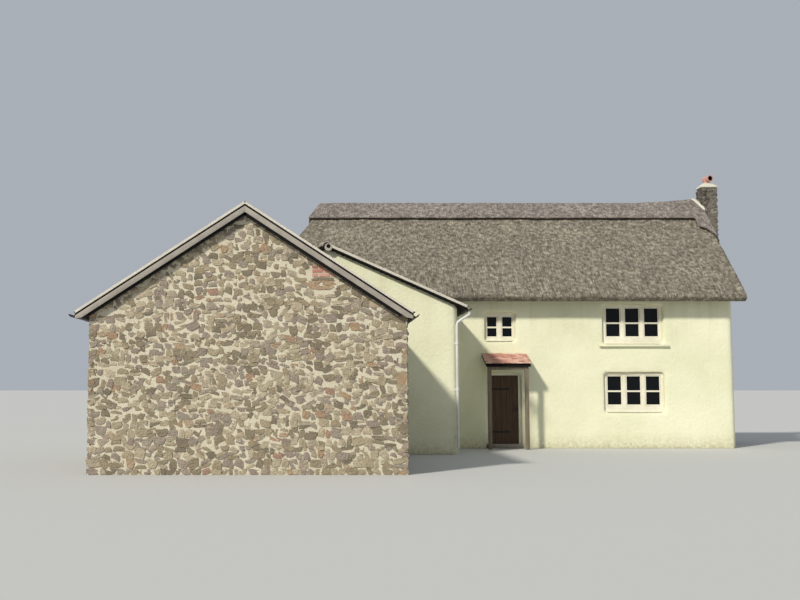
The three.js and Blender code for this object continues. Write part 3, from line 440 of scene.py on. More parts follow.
# Stonework: field stones in tan, brown and pinkish grey, bedded at random in wide pale lime
# joints. Each stone is a separate rounded lump set a little proud of the mortar wall behind it.
STONE_TINTS = [(0.0, "827866"), (0.15, "958972"), (0.3, "ab9c81"), (0.45, "c0b398"), (0.55, "a29788"),
               (0.68, "9c8c80"), (0.8, "c8bba0"), (0.88, "b8a287"), (0.94, "b39778"), (1.0, "a88878")]
STONE_DEEP, STONE_ROUGH, STONE_TURN = 0.12, 0.13, 0.32
STONE_KINDS, LEAST_ROUND, ROUND_STEP = 8, 0.2, 0.07
STONE_PROUD, STONE_SET = 0.009, (-0.006, 0.005)
STONE_WIDER, STONE_HIGHER = 1.06, 1.08
ROW_HIGH, STONE_LONG = (0.085, 0.175), (0.10, 0.24)
JOINT = 0.026
BED_JOINT_SHARE, STACKED_JOINT_SHARE = 0.7, 0.4
STACKED_HIGH, STACKED_LONG, STACKED_SHARE = 0.14, 0.13, 0.3
PLAIN_TINTS, RED_TINTS, RED_SHARE = (0.0, 0.84), (0.86, 1.0), 0.05
CLEAR_ALONG, CLEAR_UP, CORNER_GAP = 0.03, 0.02, 0.01
SAND, WALL_LICHEN = "8d836e", "c9c4ae"
TINT_DRIFT, SPECK_DARK, SPECK_SHARE, LICHEN_SHARE = 0.10, 0.45, 0.6, 0.7
UP = Vector((0, 0, 1))


def tinted_finish(name, stops, roughness, patch, grain, depth, lichen=""):
    """A finish whose colour comes from each part's own tint, broken up by weather and lichen."""
    made, tree, place, patches, speckle = start_finish(name, roughness, patch, grain)
    tint = add(tree, "ShaderNodeAttribute", attribute_name="tint").outputs["Fac"]
    unevenness = combine(tree, "SUBTRACT", patches, 0.5)
    colour = ramp(tree, weighed(tree, (tint, 1.0), (unevenness, TINT_DRIFT)), stops)
    dark = cover(tree, colour, stops[0][1], SPECK_DARK)
    colour = cover(tree, colour, dark, speckle, SPECK_SHARE)
    if lichen:
        spots = span(tree, noise(tree, place, 6.0, 5.0, 0.7), 0.62, 0.7)
        colour = cover(tree, colour, lichen, spots, LICHEN_SHARE)
    return end_finish(made, colour, speckle, depth)


def two_tone(name, base, shade, patch, grain, roughness, depth, stretch=None, speck="", share=0.3):
    """A finish of two tones with specks in it, and with grain that can be drawn out along the piece."""
    made, tree, _, patches, speckle = start_finish(name, roughness, patch, grain, stretch)
    colour = cover(tree, base, shade, patches, 0.6)
    colour = cover(tree, colour, speck or shade, speckle, share)
    return end_finish(made, colour, speckle, depth)


def mortar_finish(name, pale, dull):
    """Lime mortar: two tones in patches, with coarse sand in it."""
    return two_tone(name, pale, dull, 2.2, 45.0, 0.95, 0.012, speck=SAND, share=0.2)


stone = tinted_finish("rubble", STONE_TINTS, 0.92, 5.0, 26.0, 0.020, WALL_LICHEN)
wall_mortar = mortar_finish("wall_mortar", "e4dcc4", "cdc4aa")


def primitive(name, operator, **settings):
    """A new piece from one of Blender's primitives, its place kept in its mesh."""
    bpy.ops.object.select_all(action="DESELECT")
    operator(**settings)
    made = bpy.context.active_object
    made.name = name
    bpy.ops.object.transform_apply(location=True, rotation=True, scale=True)
    return made


def unit_cube(name):
    return primitive(name, bpy.ops.mesh.primitive_cube_add, size=1)


def stone_kind(seed, roundness):
    """One rubble stone a unit across: a block divided, rounded off and knocked out of true."""
    made = unit_cube(f"stone_kind_{seed}")
    edit_all((bpy.ops.mesh.subdivide, {"number_cuts": 1}),
             (bpy.ops.transform.tosphere, {"value": roundness}),
             (bpy.ops.transform.vertex_random, {"offset": STONE_ROUGH, "uniform": 1.0, "seed": seed}))
    smooth_under(44)
    return made


def put(kind, matrix, tint):
    """A copy of a shape with its own mesh, moved into place, and with its tint stored on it."""
    made = kind.copy()
    made.data = kind.data.copy()
    made.data.transform(matrix)
    stored = made.data.attributes.new("tint", "FLOAT", "POINT")
    stored.data.foreach_set("value", [tint] * len(made.data.vertices))
    bpy.context.scene.collection.objects.link(made)
    return made


def discard(kinds):
    for kind in kinds:
        bpy.data.objects.remove(kind)


def axes_at(place, x_way, y_way, z_way):
    """The matrix that stands a shape at a place with its own axes along three ways."""
    return Matrix.Translation(place) @ Matrix((x_way, y_way, z_way)).transposed().to_4x4()


def on_face(origin, across, out_of_wall, place, size, turn=0.0):
    """The matrix that puts a unit shape on a wall face, seen from outside, at a place along and up it."""
    inward = UP.cross(across)
    at = origin + across * place[0] + UP * place[1] - inward * out_of_wall
    return axes_at(at, across, inward, UP) @ Matrix.Rotation(turn, 4, "Y") @ Matrix.Diagonal((*size, 1))


SWAY, SWAY_STEP = 0.13, 0.1
SWAY_ACROSS, SWAY_UP, SWAY_SLICE = 1.9, 2.1, 3.1
ROW_STARTS, ROW_PASSES_END = (-0.012, -0.004), 0.008
STONE_UNEVEN, ROW_UNEVEN = (0.86, 1.12), 0.03
LEAST_STONE, LEAST_GAP = 0.04, 0.05
UNDER_TOP = 0.01


def stone_layout(width, top_at, pick, rows, lengths, kept_clear):
    """Centre, size and turn of every stone on a face: uneven rows that rise and fall along the wall."""
    highest = max(top_at(width * i / 40) for i in range(41))
    level = 0.0
    while level < highest:
        row = pick.uniform(*rows)
        along = ROW_STARTS[0] if pick.random() < 0.5 else ROW_STARTS[1]
        end = width + ROW_PASSES_END
        while along < end - LEAST_GAP:
            long = pick.uniform(*lengths)
            if end - along - long < lengths[0]:
                long = end - along
            middle = along + long / 2
            sway = Vector((middle * SWAY_ACROSS, level * SWAY_UP, SWAY_SLICE))
            here = noise_of.noise(sway)
            ahead = noise_of.noise(sway + Vector((SWAY_STEP * SWAY_ACROSS, 0, 0)))
            rise = SWAY * here * min(1.0, level)
            lean = SWAY * (ahead - here) / SWAY_STEP
            may_stack = row > STACKED_HIGH and long > STACKED_LONG
            stacked = 2 if may_stack and pick.random() < STACKED_SHARE else 1
            for i in range(stacked):
                high = row / stacked * pick.uniform(*STONE_UNEVEN)
                low = level + i * row / stacked + rise
                low += pick.uniform(-ROW_UNEVEN, ROW_UNEVEN) * min(1.0, level * 4)
                top = min(low + high, top_at(along) - UNDER_TOP, top_at(along + long) - UNDER_TOP)
                if top - low < LEAST_STONE:
                    continue
                centre = (middle, (low + top) / 2)
                if any(a - CLEAR_ALONG < centre[0] < b + CLEAR_ALONG
                       and c - CLEAR_UP < centre[1] < d + CLEAR_UP for a, b, c, d in kept_clear):
                    continue
                thinner = JOINT * (STACKED_JOINT_SHARE if stacked > 1 else BED_JOINT_SHARE)
                size = (long - JOINT, top - low - thinner)
                yield centre, size, lean + pick.uniform(-STONE_TURN, STONE_TURN)
            along += long
        level += row


def lay_stones(origin, across, width, top_at, seed, kept_clear=(), rows=ROW_HIGH,
               lengths=STONE_LONG, from_level=0.0, sunk=0.0):
    """Fills one wall face with stones, a few of them reddish, and gives them back as a list."""
    pick = random.Random(seed)
    laid = []
    for centre, (long, high), turn in stone_layout(width, top_at, pick, rows, lengths, kept_clear):
        kind = pick.choice(stone_kinds)
        tint = pick.uniform(*PLAIN_TINTS)
        if pick.random() < RED_SHARE:
            tint = pick.uniform(*RED_TINTS)
        proud = STONE_PROUD - sunk + pick.uniform(*STONE_SET)
        if centre[1] < from_level:
            continue
        size = (long * STONE_WIDER, STONE_DEEP, high * STONE_HIGHER)
        laid.append(put(kind, on_face(origin, across, proud - STONE_DEEP / 2, centre, size, turn), tint))
    return laid


def stone_face(name, material, parts):
    finished(joined(name, parts), material, "rubble")


stone_kinds = [stone_kind(seed, LEAST_ROUND + ROUND_STEP * (seed % 4))
               for seed in range(1, STONE_KINDS + 1)]

# Outbuilding walls: stones on the three open sides and on the part of the back gable that
# stands clear of the wing, with a patch of brick repair high in the front gable.
BARN_WALL_THICK = 0.45
# The brick patch by its left, right, foot and head on the gable, and each long stone by its place
# along and up the gable, its length, its height and its tint
PATCH = (4.22, 4.68, 3.56, 3.96)
LONG_STONES = ((4.44, 3.724, 0.44, 0.060, 0.12), (4.24, 3.642, 0.34, 0.092, 0.92),
               (4.56, 3.646, 0.30, 0.085, 0.95), (4.40, 3.560, 0.44, 0.078, 0.93))
gable_low, gable_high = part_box("barn_front_gable")
back_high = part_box("barn_back_gable")[1]
wing_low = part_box("wing_gable_wall")[0]
barn_apex_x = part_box("barn_roof_right")[0][0]
barn_wide = gable_high[0] - gable_low[0]
barn_pitch = (gable_high[2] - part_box("barn_left_wall")[1][2]) / (
    barn_apex_x - gable_low[0] - BARN_WALL_THICK)
apex_along = barn_apex_x - gable_low[0]


def gable_top(along):
    """Height of the front gable's edge at a place along it."""
    return gable_high[2] - barn_pitch * abs(min(max(along, 0), barn_wide) - apex_along)


def back_gable_top(along):
    return gable_top(clear_part - along)


def throughout(value):
    """For a top or an end that is the same all along."""
    return lambda place: value


front_corner = Vector((gable_low[0], gable_low[1], 0))
right_corner = Vector((gable_high[0], gable_low[1], 0))
left_corner = Vector((gable_low[0], back_high[1], 0))
clear_corner = Vector((wing_low[0], back_high[1], 0))
clear_part = wing_low[0] - gable_low[0]
barn_long = back_high[1] - gable_low[1]
X, Y = Vector((1, 0, 0)), Vector((0, 1, 0))

front_stones = lay_stones(front_corner, X, barn_wide, gable_top, 11, [PATCH])
for i, (along, level, long, high, tint) in enumerate(LONG_STONES):
    at = on_face(front_corner, X, STONE_PROUD - STONE_DEEP / 2, (along, level), (long, STONE_DEEP, high))
    front_stones.append(put(stone_kinds[i], at, tint))
stone_face("barn_front_stones", stone, front_stones)

door_low, door_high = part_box("barn_door_frame")
doorway = (back_high[1] - door_high[1] - CLEAR_UP, back_high[1] - door_low[1] + CLEAR_UP, -1.0,
           door_high[2] + CLEAR_UP)
BARN_FACES = (
    ("barn_right_stones", right_corner, Y, barn_long - CORNER_GAP, throughout(gable_top(barn_wide)),
     12, []),
    ("barn_left_stones", left_corner, -Y, barn_long, throughout(gable_top(0)), 13, [doorway]),
    ("barn_back_stones", clear_corner, -X, clear_part, back_gable_top, 14, []),
)
for name, *face in BARN_FACES:
    stone_face(name, stone, lay_stones(*face))

# Brick repair: three short rows of soft pink bricks in the gable, laid in the same mortar, over a
# few long flat stones.
BRICK_LONG, BRICK_HIGH = 0.215, 0.064
BRICKS_LEFT, BRICKS_WIDE, BRICKS_LOW = 4.25, 0.43, 3.765
BRICK_ROWS, BRICKS_IN_ROW = 3, 3
BED_JOINT, CROSS_JOINT = 0.016, 0.014
BRICK_PROUD, BRICK_DEEP = 0.010, 0.10
BRICK_WORN, BRICK_TURN, LEAST_BRICK = 0.06, 0.03, 0.05
BRICK_TINTS = [(0.0, "966656"), (0.5, "b58374"), (1.0, "d0a496")]
brick_finish = tinted_finish("repair_brick", BRICK_TINTS, 0.9, 6.0, 40.0, 0.004)
brick = unit_cube("brick_kind")
edit_all((bpy.ops.mesh.bevel, {"offset": BRICK_WORN, "segments": 1}))
pick = random.Random(5)
bricks = []
for row in range(BRICK_ROWS):
    start = 0.0 if row % 2 else -BRICK_LONG / 2
    level = BRICKS_LOW + BRICK_HIGH / 2 + row * (BRICK_HIGH + BED_JOINT)
    for i in range(BRICKS_IN_ROW):
        left = max(start + i * (BRICK_LONG + CROSS_JOINT), 0.0)
        right = min(start + i * (BRICK_LONG + CROSS_JOINT) + BRICK_LONG, BRICKS_WIDE)
        if right - left < LEAST_BRICK:
            continue
        at = (BRICKS_LEFT + (left + right) / 2, level)
        size = (right - left, BRICK_DEEP, BRICK_HIGH)
        turn = pick.uniform(-BRICK_TURN, BRICK_TURN)
        matrix = on_face(front_corner, X, BRICK_PROUD - BRICK_DEEP / 2, at, size, turn)
        bricks.append(put(brick, matrix, pick.random()))
stone_face("barn_brick_patch", brick_finish, bricks)
discard([brick])

# Chimney: a rubble stack against the gable, wide below the eaves and narrow above, with
# smaller stones than the outbuilding's and darker joints high up.
SHAFT_HALF, SHAFT_EDGE, SHAFT_LEFT_Z = 0.235, 0.02, 6.62
BREAST_HALF, BREAST_HIGH, SHOULDER_HIGH = 0.8, 3.9, 4.9
SHAFT_FROM_Z = SHOULDER_HIGH - 0.1
BEDDING_DEEP = 0.022
STACK_TINTS = [(0.0, "4f4b45"), (0.3, "69635a"), (0.55, "7b756b"), (0.8, "6d696b"), (1.0, "949085")]
STACK_LICHEN = "a6a38c"
stack_low, stack_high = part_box("chimney_stack")
wall_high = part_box("right_gable_wall")[1]
stack_finish = tinted_finish("stack_stone", STACK_TINTS, 0.92, 5.0, 30.0, 0.012, STACK_LICHEN)
stack_small = {"rows": (0.08, 0.15), "lengths": (0.10, 0.26), "sunk": 0.024}


def stack_outline(along):
    """Height of the stack's side face at a place across its breast."""
    off = abs(along - BREAST_HALF)
    if off < SHAFT_HALF + SHAFT_EDGE:
        return stack_high[2]
    return SHOULDER_HIGH - (off - SHAFT_HALF) / (BREAST_HALF - SHAFT_HALF) * (SHOULDER_HIGH - BREAST_HIGH)


breast_deep = stack_high[0] - wall_high[0]
shaft_wide = 2 * SHAFT_HALF
shaft_left = stack_high[0] - shaft_wide
middle_y = (stack_low[1] + stack_high[1]) / 2
shaft_near, shaft_far = middle_y - SHAFT_HALF, middle_y + SHAFT_HALF
breast_top, shaft_top = throughout(BREAST_HIGH), throughout(stack_high[2])
STACK_FACES = (
    (stack_high[0], stack_low[1], Y, 2 * BREAST_HALF, stack_outline, 0.0),
    (wall_high[0], stack_low[1], X, breast_deep, breast_top, 0.0),
    (stack_high[0], stack_high[1], -X, breast_deep, breast_top, 0.0),
    (shaft_left, shaft_near, X, shaft_wide, shaft_top, SHAFT_FROM_Z),
    (stack_high[0], shaft_far, -X, shaft_wide, shaft_top, SHAFT_FROM_Z),
    (shaft_left, shaft_far, -Y, shaft_wide, shaft_top, SHAFT_LEFT_Z),
)
stack_stones = []
for i, (x, y, across, wide, top_at, from_level) in enumerate(STACK_FACES):
    stack_stones += lay_stones(Vector((x, y, 0)), across, wide, top_at, 21 + i,
                               from_level=from_level, **stack_small)
stone_face("chimney_stones", stack_finish, stack_stones)
stack_mortar = mortar_finish("stack_mortar", "817969", "625b4f")

# The masonry itself, every face of it set back as bedding for the stones
bedding = joined_copy("chimney_bedding", "chimney_stack")
edit_all((bpy.ops.mesh.dissolve_limited, {"angle_limit": math.radians(1)}),
         (bpy.ops.transform.shrink_fatten, {"value": -BEDDING_DEEP, "use_even_offset": True}))
finished(bedding, stack_mortar, "rubble", "chimney_stack")
discard(stone_kinds)

# Flaunching: a rough dome of pale mortar, laid by hand on the stack's top, that holds the pot and
# throws off the rain.
DOME_VOXEL = 0.022
DOME_LUMPS_WIDE, DOME_LUMPS_DEEP = 0.16, 0.014
pale_mortar = mortar_finish("flaunching_mortar", "e4e2d2", "c3bfa9")
dome = joined_copy("chimney_flaunching_dome", "chimney_flaunching")
voxel_skin(dome, DOME_VOXEL)
apply_modifier(dome, "worn", "SMOOTH", factor=0.5, iterations=5)
wander(dome, DOME_LUMPS_WIDE, DOME_LUMPS_DEEP, "dome_lumps")
bpy.ops.object.shade_smooth()
finished(dome, pale_mortar, "mortar", "chimney_flaunching")

# Pot: a hooded pot of pale pinkish clay. It stays as the frame gives it, and its finish blackens
# the inside of the hood with soot.
HOOD_TURN, HOOD_BORE, HOOD_AXIS_BELOW_TOP = math.radians(14), 0.072, 0.098
POT_CLAY, POT_PALE, POT_SPECK, SOOT = "c08a7c", "cfa69e", "a8644c", "0d0b0a"
pot_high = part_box("chimney_pot")[1]
hood_line = Vector((math.sin(HOOD_TURN), -math.cos(HOOD_TURN), 0))
pot_axis = Vector(((stack_high[0] + shaft_left) / 2, middle_y, pot_high[2] - HOOD_AXIS_BELOW_TOP))
terracotta, tree, place, patches, grain = start_finish("terracotta", 0.85, 7.0, 60.0)
colour = cover(tree, cover(tree, POT_CLAY, POT_PALE, patches), POT_SPECK, grain, 0.35)
from_axis = vector_step(tree, "SUBTRACT", place, pot_axis).outputs[0]
across = vector_step(tree, "CROSS_PRODUCT", from_axis, hood_line).outputs[0]
off_line = vector_step(tree, "LENGTH", across).outputs["Value"]
soot = combine(tree, "LESS_THAN", off_line, HOOD_BORE)
end_finish(terracotta, cover(tree, colour, SOOT, soot), grain, 0.003)

# Fillet: a strip of white mortar that seals the end of the block ridge in front of the stack, laid
# on the thatch from the crest down to the stack's corner.
FILLET_TOP, FILLET_FOOT = Vector((7.690, 4.140)), Vector((7.958, 3.790))
FILLET_WIDE, FILLET_THICK, FILLET_CROWN, FILLET_FALL = 0.10, 0.06, 0.02, 0.25
fillet = primitive("ridge_mortar_fillet", bpy.ops.mesh.primitive_grid_add,
                   x_subdivisions=14, y_subdivisions=4, size=1)
run = FILLET_FOOT - FILLET_TOP
sideways = Vector((-run[1], run[0])).normalized() * FILLET_WIDE
for vertex in fillet.data.vertices:
    x, y = FILLET_TOP + run * (vertex.co.x + 0.5) + sideways * vertex.co.y
    crown = FILLET_CROWN - FILLET_FALL * abs(vertex.co.y) * FILLET_WIDE
    on_thatch = saddle.ray_cast(Vector((x, y, pot_high[2])), Vector((0, 0, -1)))[1]
    vertex.co = (x, y, on_thatch.z + crown)
apply_modifier(fillet, "thick", "SOLIDIFY", thickness=FILLET_THICK, offset=-1.0)
smooth_under(50)
finished(fillet, pale_mortar, "mortar")


# Slates: the wing and the outbuilding carry weathered slates in lapped courses on the sloping
# decks that the frame gives, each slate lifted at its tail by the two below it.
SLATE_TINTS = [(0.0, "555351"), (0.35, "666362"), (0.65, "74706b"), (1.0, "827d72")]
SLATE = {"wide": 0.255, "long": 0.38, "thick": 0.009, "gauge": 0.175}
SLATE_LICHEN = "9a9a78"
LEAST_TILE, SHORTEST_COURSE = 0.05, 0.4
TILE_SLIP, TILE_LIFT, TILE_TURN, TILE_GAP = (-0.008, 0.006), (0.0, 0.003), 0.012, 0.004
TILE_LEAN, TILE_BED, TILE_WARP = 2.2, 1.35, 0.02
TILE_TAIL, COURSE_END = 0.03, 0.02
slate_finish = tinted_finish("slate", SLATE_TINTS, 0.65, 3.0, 30.0, 0.003, SLATE_LICHEN)


def tile_kind(name, camber):
    """One flat tile a unit across, its edges dressed, with a slight hollow along it."""
    made = unit_cube(name)
    edit_all((bpy.ops.mesh.subdivide, {"number_cuts": 1}),
             (bpy.ops.transform.vertex_random, {"offset": TILE_WARP, "uniform": 1.0, "seed": 7}))
    for vertex in made.data.vertices:
        vertex.co.z += camber * (0.25 - vertex.co.x ** 2)
    return made


def lay_tiles(kind, origin, along, up_slope, slope_long, ends_at, seed, wide, long, thick, gauge):
    """Courses of tiles up a slope from its eaves; each course starts and ends where the slope does."""
    pick = random.Random(seed)
    outward = along.cross(up_slope)
    lean = Matrix.Rotation(-TILE_LEAN * thick / long, 4, "X")
    laid = []
    for course in range(int(slope_long / gauge) + 1):
        tail = course * gauge - TILE_TAIL
        length = min(long, slope_long - tail)
        if length < SHORTEST_COURSE * gauge:
            continue
        first, last = ends_at(tail + length / 2)
        at = first - (wide / 2 if course % 2 else 0.0)
        while at < last - COURSE_END:
            left, right = max(at, first), min(at + wide, last)
            at += wide
            if right - left < LEAST_TILE:
                continue
            slip = pick.uniform(*TILE_SLIP)
            centre = origin + along * ((left + right) / 2) + up_slope * (tail + length / 2 + slip)
            centre += outward * (TILE_BED * thick + pick.uniform(*TILE_LIFT))
            turn = Matrix.Rotation(pick.uniform(-TILE_TURN, TILE_TURN), 4, "Z")
            size = Matrix.Diagonal((right - left - TILE_GAP, length, thick, 1))
            matrix = axes_at(centre, along, up_slope, outward) @ lean @ turn @ size
            laid.append(put(kind, matrix, pick.random()))
    return laid


slate = tile_kind("slate_kind", 0.0)
THATCH_EAVE_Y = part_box("thatch_front_slope")[0][1]
THATCH_EAVE_Z = 4.165
THATCH_RISE = 0.9297
WING_RISE, BARN_RISE = 0.4475, 0.6564
VERGE_OVERHANG, BACK_GAP, INTO_THATCH = 0.012, 0.004, 0.05
HOUSE_FRONT_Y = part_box("front_wall")[0][1]
BARN_COVERS_TO, BARN_COVERS_IN = 0.86, 0.15


def slate_slope(node, side, rise):
    """Slates on one CAD slope that falls to the right or the left, from its verge to its back end."""
    low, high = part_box(node)
    run = high[0] - low[0]
    up_slope = Vector((-side, 0, rise)).normalized()
    eave_z = high[2] - rise * run
    origin = Vector((high[0] if side > 0 else low[0], 0, eave_z))
    on_wing = node.startswith("wing")

    def ends_at(up):
        """Where the course at a distance up the slope starts and ends."""
        behind_barn = on_wing and side < 0 and up < BARN_COVERS_TO
        front = low[1] + (BARN_COVERS_IN if behind_barn else -VERGE_OVERHANG)
        back = high[1] - BACK_GAP
        if on_wing:
            height = eave_z + up_slope[2] * up
            back = max(HOUSE_FRONT_Y, THATCH_EAVE_Y + (height - THATCH_EAVE_Z) / THATCH_RISE) + INTO_THATCH
        return (front, back) if side > 0 else (-back, -front)

    laid = lay_tiles(slate, origin, Vector((0, side, 0)), up_slope, run * math.hypot(1, rise), ends_at,
                     31 + len(node) + side, **SLATE)
    finished(joined(node.replace("roof", "slates"), laid), slate_finish, "slate")


for roof, rise in (("wing", WING_RISE), ("barn", BARN_RISE)):
    slate_slope(roof + "_roof_right", 1, rise)
    slate_slope(roof + "_roof_left", -1, rise)

# Stack shoulders: the two slopes that lead from the wide breast to the narrow shaft. They carry
# the same slates as the roofs, in lapped courses bedded on the stone.
shoulder_run = BREAST_HALF - SHAFT_HALF
shoulder_long = math.hypot(shoulder_run, SHOULDER_HIGH - BREAST_HIGH)
shoulder_slates = []
for side, seed in ((1, 61), (-1, 62)):
    up_slope = Vector((0, side * shoulder_run, SHOULDER_HIGH - BREAST_HIGH)).normalized()
    start_x = wall_high[0] if side > 0 else stack_high[0]
    origin = Vector((start_x, middle_y - side * BREAST_HALF, BREAST_HIGH))
    shoulder_slates += lay_tiles(slate, origin, Vector((side, 0, 0)), up_slope, shoulder_long,
                                 throughout((0.0, breast_deep)), seed, **SLATE)
finished(joined("chimney_shoulder_slates", shoulder_slates), slate_finish, "slate")
discard([slate])

# Porch roof: red clay plain tiles on a boarded slope, cambered a little from side to side.
CLAY_TINTS = [(0.0, "a8776a"), (0.4, "c79583"), (0.75, "d8ad9b"), (1.0, "e0c6b4")]
CLAY_LICHEN = "b9ae93"
PORCH_RISE = 0.4143
PORCH_OVERHANG = 0.012
PLAIN_TILE = {"wide": 0.165, "long": 0.265, "thick": 0.013, "gauge": 0.10}
clay_finish = tinted_finish("clay_tile", CLAY_TINTS, 0.85, 6.0, 50.0, 0.003, CLAY_LICHEN)
plain_tile = tile_kind("plain_tile_kind", 0.5)
porch_low, porch_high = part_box("porch_roof")
porch_wide = porch_high[0] - porch_low[0]
porch_run = porch_high[1] - porch_low[1]
porch_up = Vector((0, 1, PORCH_RISE)).normalized()
porch_origin = Vector((porch_low[0], porch_low[1], porch_high[2] - PORCH_RISE * porch_run))
across_porch = throughout((-PORCH_OVERHANG, porch_wide + PORCH_OVERHANG))
porch_tiles = lay_tiles(plain_tile, porch_origin, X, porch_up, porch_run * math.hypot(1, PORCH_RISE),
                        across_porch, 41, **PLAIN_TILE)
finished(joined("porch_tiles", porch_tiles), clay_finish, "clay_tile")
discard([plain_tile])

# Ridge tiles: half-round clay tiles bedded in pale mortar on the wing, and plain angular slate
# ridge tiles on the outbuilding, laid end to end from the verge.
RIDGE_SLIP, RIDGE_TURN, RIDGE_GAP, LEAST_RIDGE_TILE = 0.004, 0.012, 0.006, 0.05


def ridge_tile_kind(name, sides, radius, long, thick):
    """A half pipe with its open side down, along Y, a wall's thickness through."""
    made = primitive(name, bpy.ops.mesh.primitive_cylinder_add, vertices=sides, radius=radius,
                     depth=long, end_fill_type="NOTHING")
    made.data.transform(Matrix.Rotation(math.pi / 2, 4, "X"))
    edit_all((bpy.ops.mesh.bisect, {"plane_co": (0, 0, 0), "plane_no": (0, 0, 1), "clear_inner": True}),
             (bpy.ops.mesh.select_all, {"action": "SELECT"}),
             (bpy.ops.mesh.normals_make_consistent, {"inside": False}))
    if made.data.polygons[0].normal.dot(made.data.polygons[0].center) < 0:
        made.data.flip_normals()
    apply_modifier(made, "wall", "SOLIDIFY", thickness=thick, offset=-1.0)
    apply_modifier(made, "soft", "BEVEL", width=thick * 0.25, segments=1)
    return made


def ridge_run(name, kind, apex_x, base_z, front, back, tile_long, material, slot, seed, *replaced):
    pick = random.Random(seed)
    laid = []
    at = front
    while at < back - LEAST_RIDGE_TILE:
        long = min(tile_long, back - at)
        slip = pick.uniform(-RIDGE_SLIP, RIDGE_SLIP)
        matrix = Matrix.Translation((apex_x + slip, at + long / 2, base_z))
        matrix = matrix @ Matrix.Rotation(pick.uniform(-RIDGE_TURN, RIDGE_TURN), 4, "Z")
        matrix = matrix @ Matrix.Diagonal((1, (long - RIDGE_GAP) / tile_long, 1, 1))
        laid.append(put(kind, matrix, pick.random()))
        at += long
    finished(joined(name, laid), material, slot, *replaced)


WING_TILE_LONG, WING_TILE_RADIUS, WING_TILE_THICK = 0.42, 0.125, 0.016
WING_TILES_BELOW, WING_TILES_OUT, WING_TILES_IN = 0.085, 0.01, 0.02
BARN_TILE_LONG, BARN_TILE_RADIUS, BARN_TILE_THICK = 0.46, 0.20, 0.02
BARN_TILES_ABOVE, BARN_TILES_BACK = 0.012, 0.003
RIDGE_TILE_TINTS = [(0.0, "b0a99c"), (0.5, "c6bfb0"), (1.0, "d5cebd")]
RIDGE_TILE_LICHEN = "9d9a80"
cap_low, cap_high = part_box("wing_ridge_cap")
wing_tile = ridge_tile_kind("wing_tile_kind", 20, WING_TILE_RADIUS, WING_TILE_LONG, WING_TILE_THICK)
cap_apex = (cap_low[0] + cap_high[0]) / 2
pale_tile = tinted_finish("wing_ridge_tile", RIDGE_TILE_TINTS, 0.85, 6.0, 40.0, 0.003, RIDGE_TILE_LICHEN)
ridge_run("wing_ridge_tiles", wing_tile, cap_apex, cap_high[2] - WING_TILES_BELOW,
          cap_low[1] - WING_TILES_OUT, cap_high[1] + WING_TILES_IN, WING_TILE_LONG, pale_tile,
          "mortar", 51, "wing_ridge_cap")
barn_cap_low, barn_cap_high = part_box("barn_ridge_cap")
barn_tile = ridge_tile_kind("barn_tile_kind", 4, BARN_TILE_RADIUS, BARN_TILE_LONG, BARN_TILE_THICK)
barn_tile.data.transform(Matrix.Diagonal((1, 1, BARN_RISE, 1)))
ridge_run("barn_ridge_tiles", barn_tile, (barn_cap_low[0] + barn_cap_high[0]) / 2,
          barn_cap_high[2] - BARN_TILE_RADIUS * BARN_RISE + BARN_TILES_ABOVE,
          barn_cap_low[1] + BARN_TILES_BACK, barn_cap_high[1], BARN_TILE_LONG, slate_finish, "slate",
          52, "barn_ridge_cap")
discard([wing_tile, barn_tile])


# Windows: cream-painted timber casements with one thin glazing bar across each light, a squared timber
# sill, and opaque glass painted near black for the shade of the dark room behind it (painted shade).
SASH_BAR, SASH_DEEP, SASH_SET_BACK = 0.026, 0.034, 0.014
GLAZING_BAR, GLAZING_BAR_AT = 0.045, 0.48
LOW_RAIL = 1.4 * SASH_BAR
GLAZING_BAR_FRONT, GLAZING_BAR_BACK = 0.006, 0.004
SASH_CLEAR, BAR_SOFT = 0.002, 0.003
SILL_OUT, SILL_TOP, SILL_FOOT, SILL_IN, SILL_SOFT = 0.052, 0.055, 0.012, 0.004, 0.008
paint = two_tone("painted_wood", "efebd8", "cfc8ac", 2.5, 30.0, 0.5, 0.0015)
# The glass lets no light through: its near-black colour paints the shade of the room behind (painted shade)
glass = two_tone("window_glass", "0a0e12", "050608", 1.5, 3.0, 0.06, 0.004)
glass.node_tree.nodes["Principled BSDF"].inputs["Specular IOR Level"].default_value = 0.2


def softened(name, material, slot, width, source):
    """A copy of a CAD part with every hard edge planed off a little."""
    made = joined_copy(name, source)
    edit_all((bpy.ops.mesh.dissolve_limited, {"angle_limit": math.radians(1)}))
    apply_modifier(made, "soft", "BEVEL", width=width, segments=2, limit_method="ANGLE",
                   angle_limit=math.radians(30))
    smooth_under(35)
    finished(made, material, slot, source)


def bar(name, low, high, soft):
    """One squared length of wood or metal between two corners, its edges eased."""
    made = unit_cube(name)
    low, high = Vector(low), Vector(high)
    made.data.transform(Matrix.Translation((low + high) / 2) @ Matrix.Diagonal((*(high - low), 1)))
    edit_all((bpy.ops.mesh.bevel, {"offset": soft, "segments": 2}))
    return made


def sash(left, right, front, back, low, high):
    """Stiles, rails and the glazing bar of one casement, fitted into its light."""
    left, right, low, high = left + SASH_CLEAR, right - SASH_CLEAR, low + SASH_CLEAR, high - SASH_CLEAR
    inner_left, inner_right = left + SASH_BAR, right - SASH_BAR
    middle = low + (high - low) * GLAZING_BAR_AT
    edges = ((left, inner_left, low, high), (inner_right, right, low, high),
             (inner_left, inner_right, high - SASH_BAR, high),
             (inner_left, inner_right, low, low + LOW_RAIL))
    parts = [bar("sash", (x0, front, z0), (x1, back, z1), BAR_SOFT) for x0, x1, z0, z1 in edges]
    parts.append(bar("glazing_bar", (inner_left, front + GLAZING_BAR_FRONT, middle - GLAZING_BAR / 2),
                     (inner_right, back - GLAZING_BAR_BACK, middle + GLAZING_BAR / 2), BAR_SOFT))
    return parts


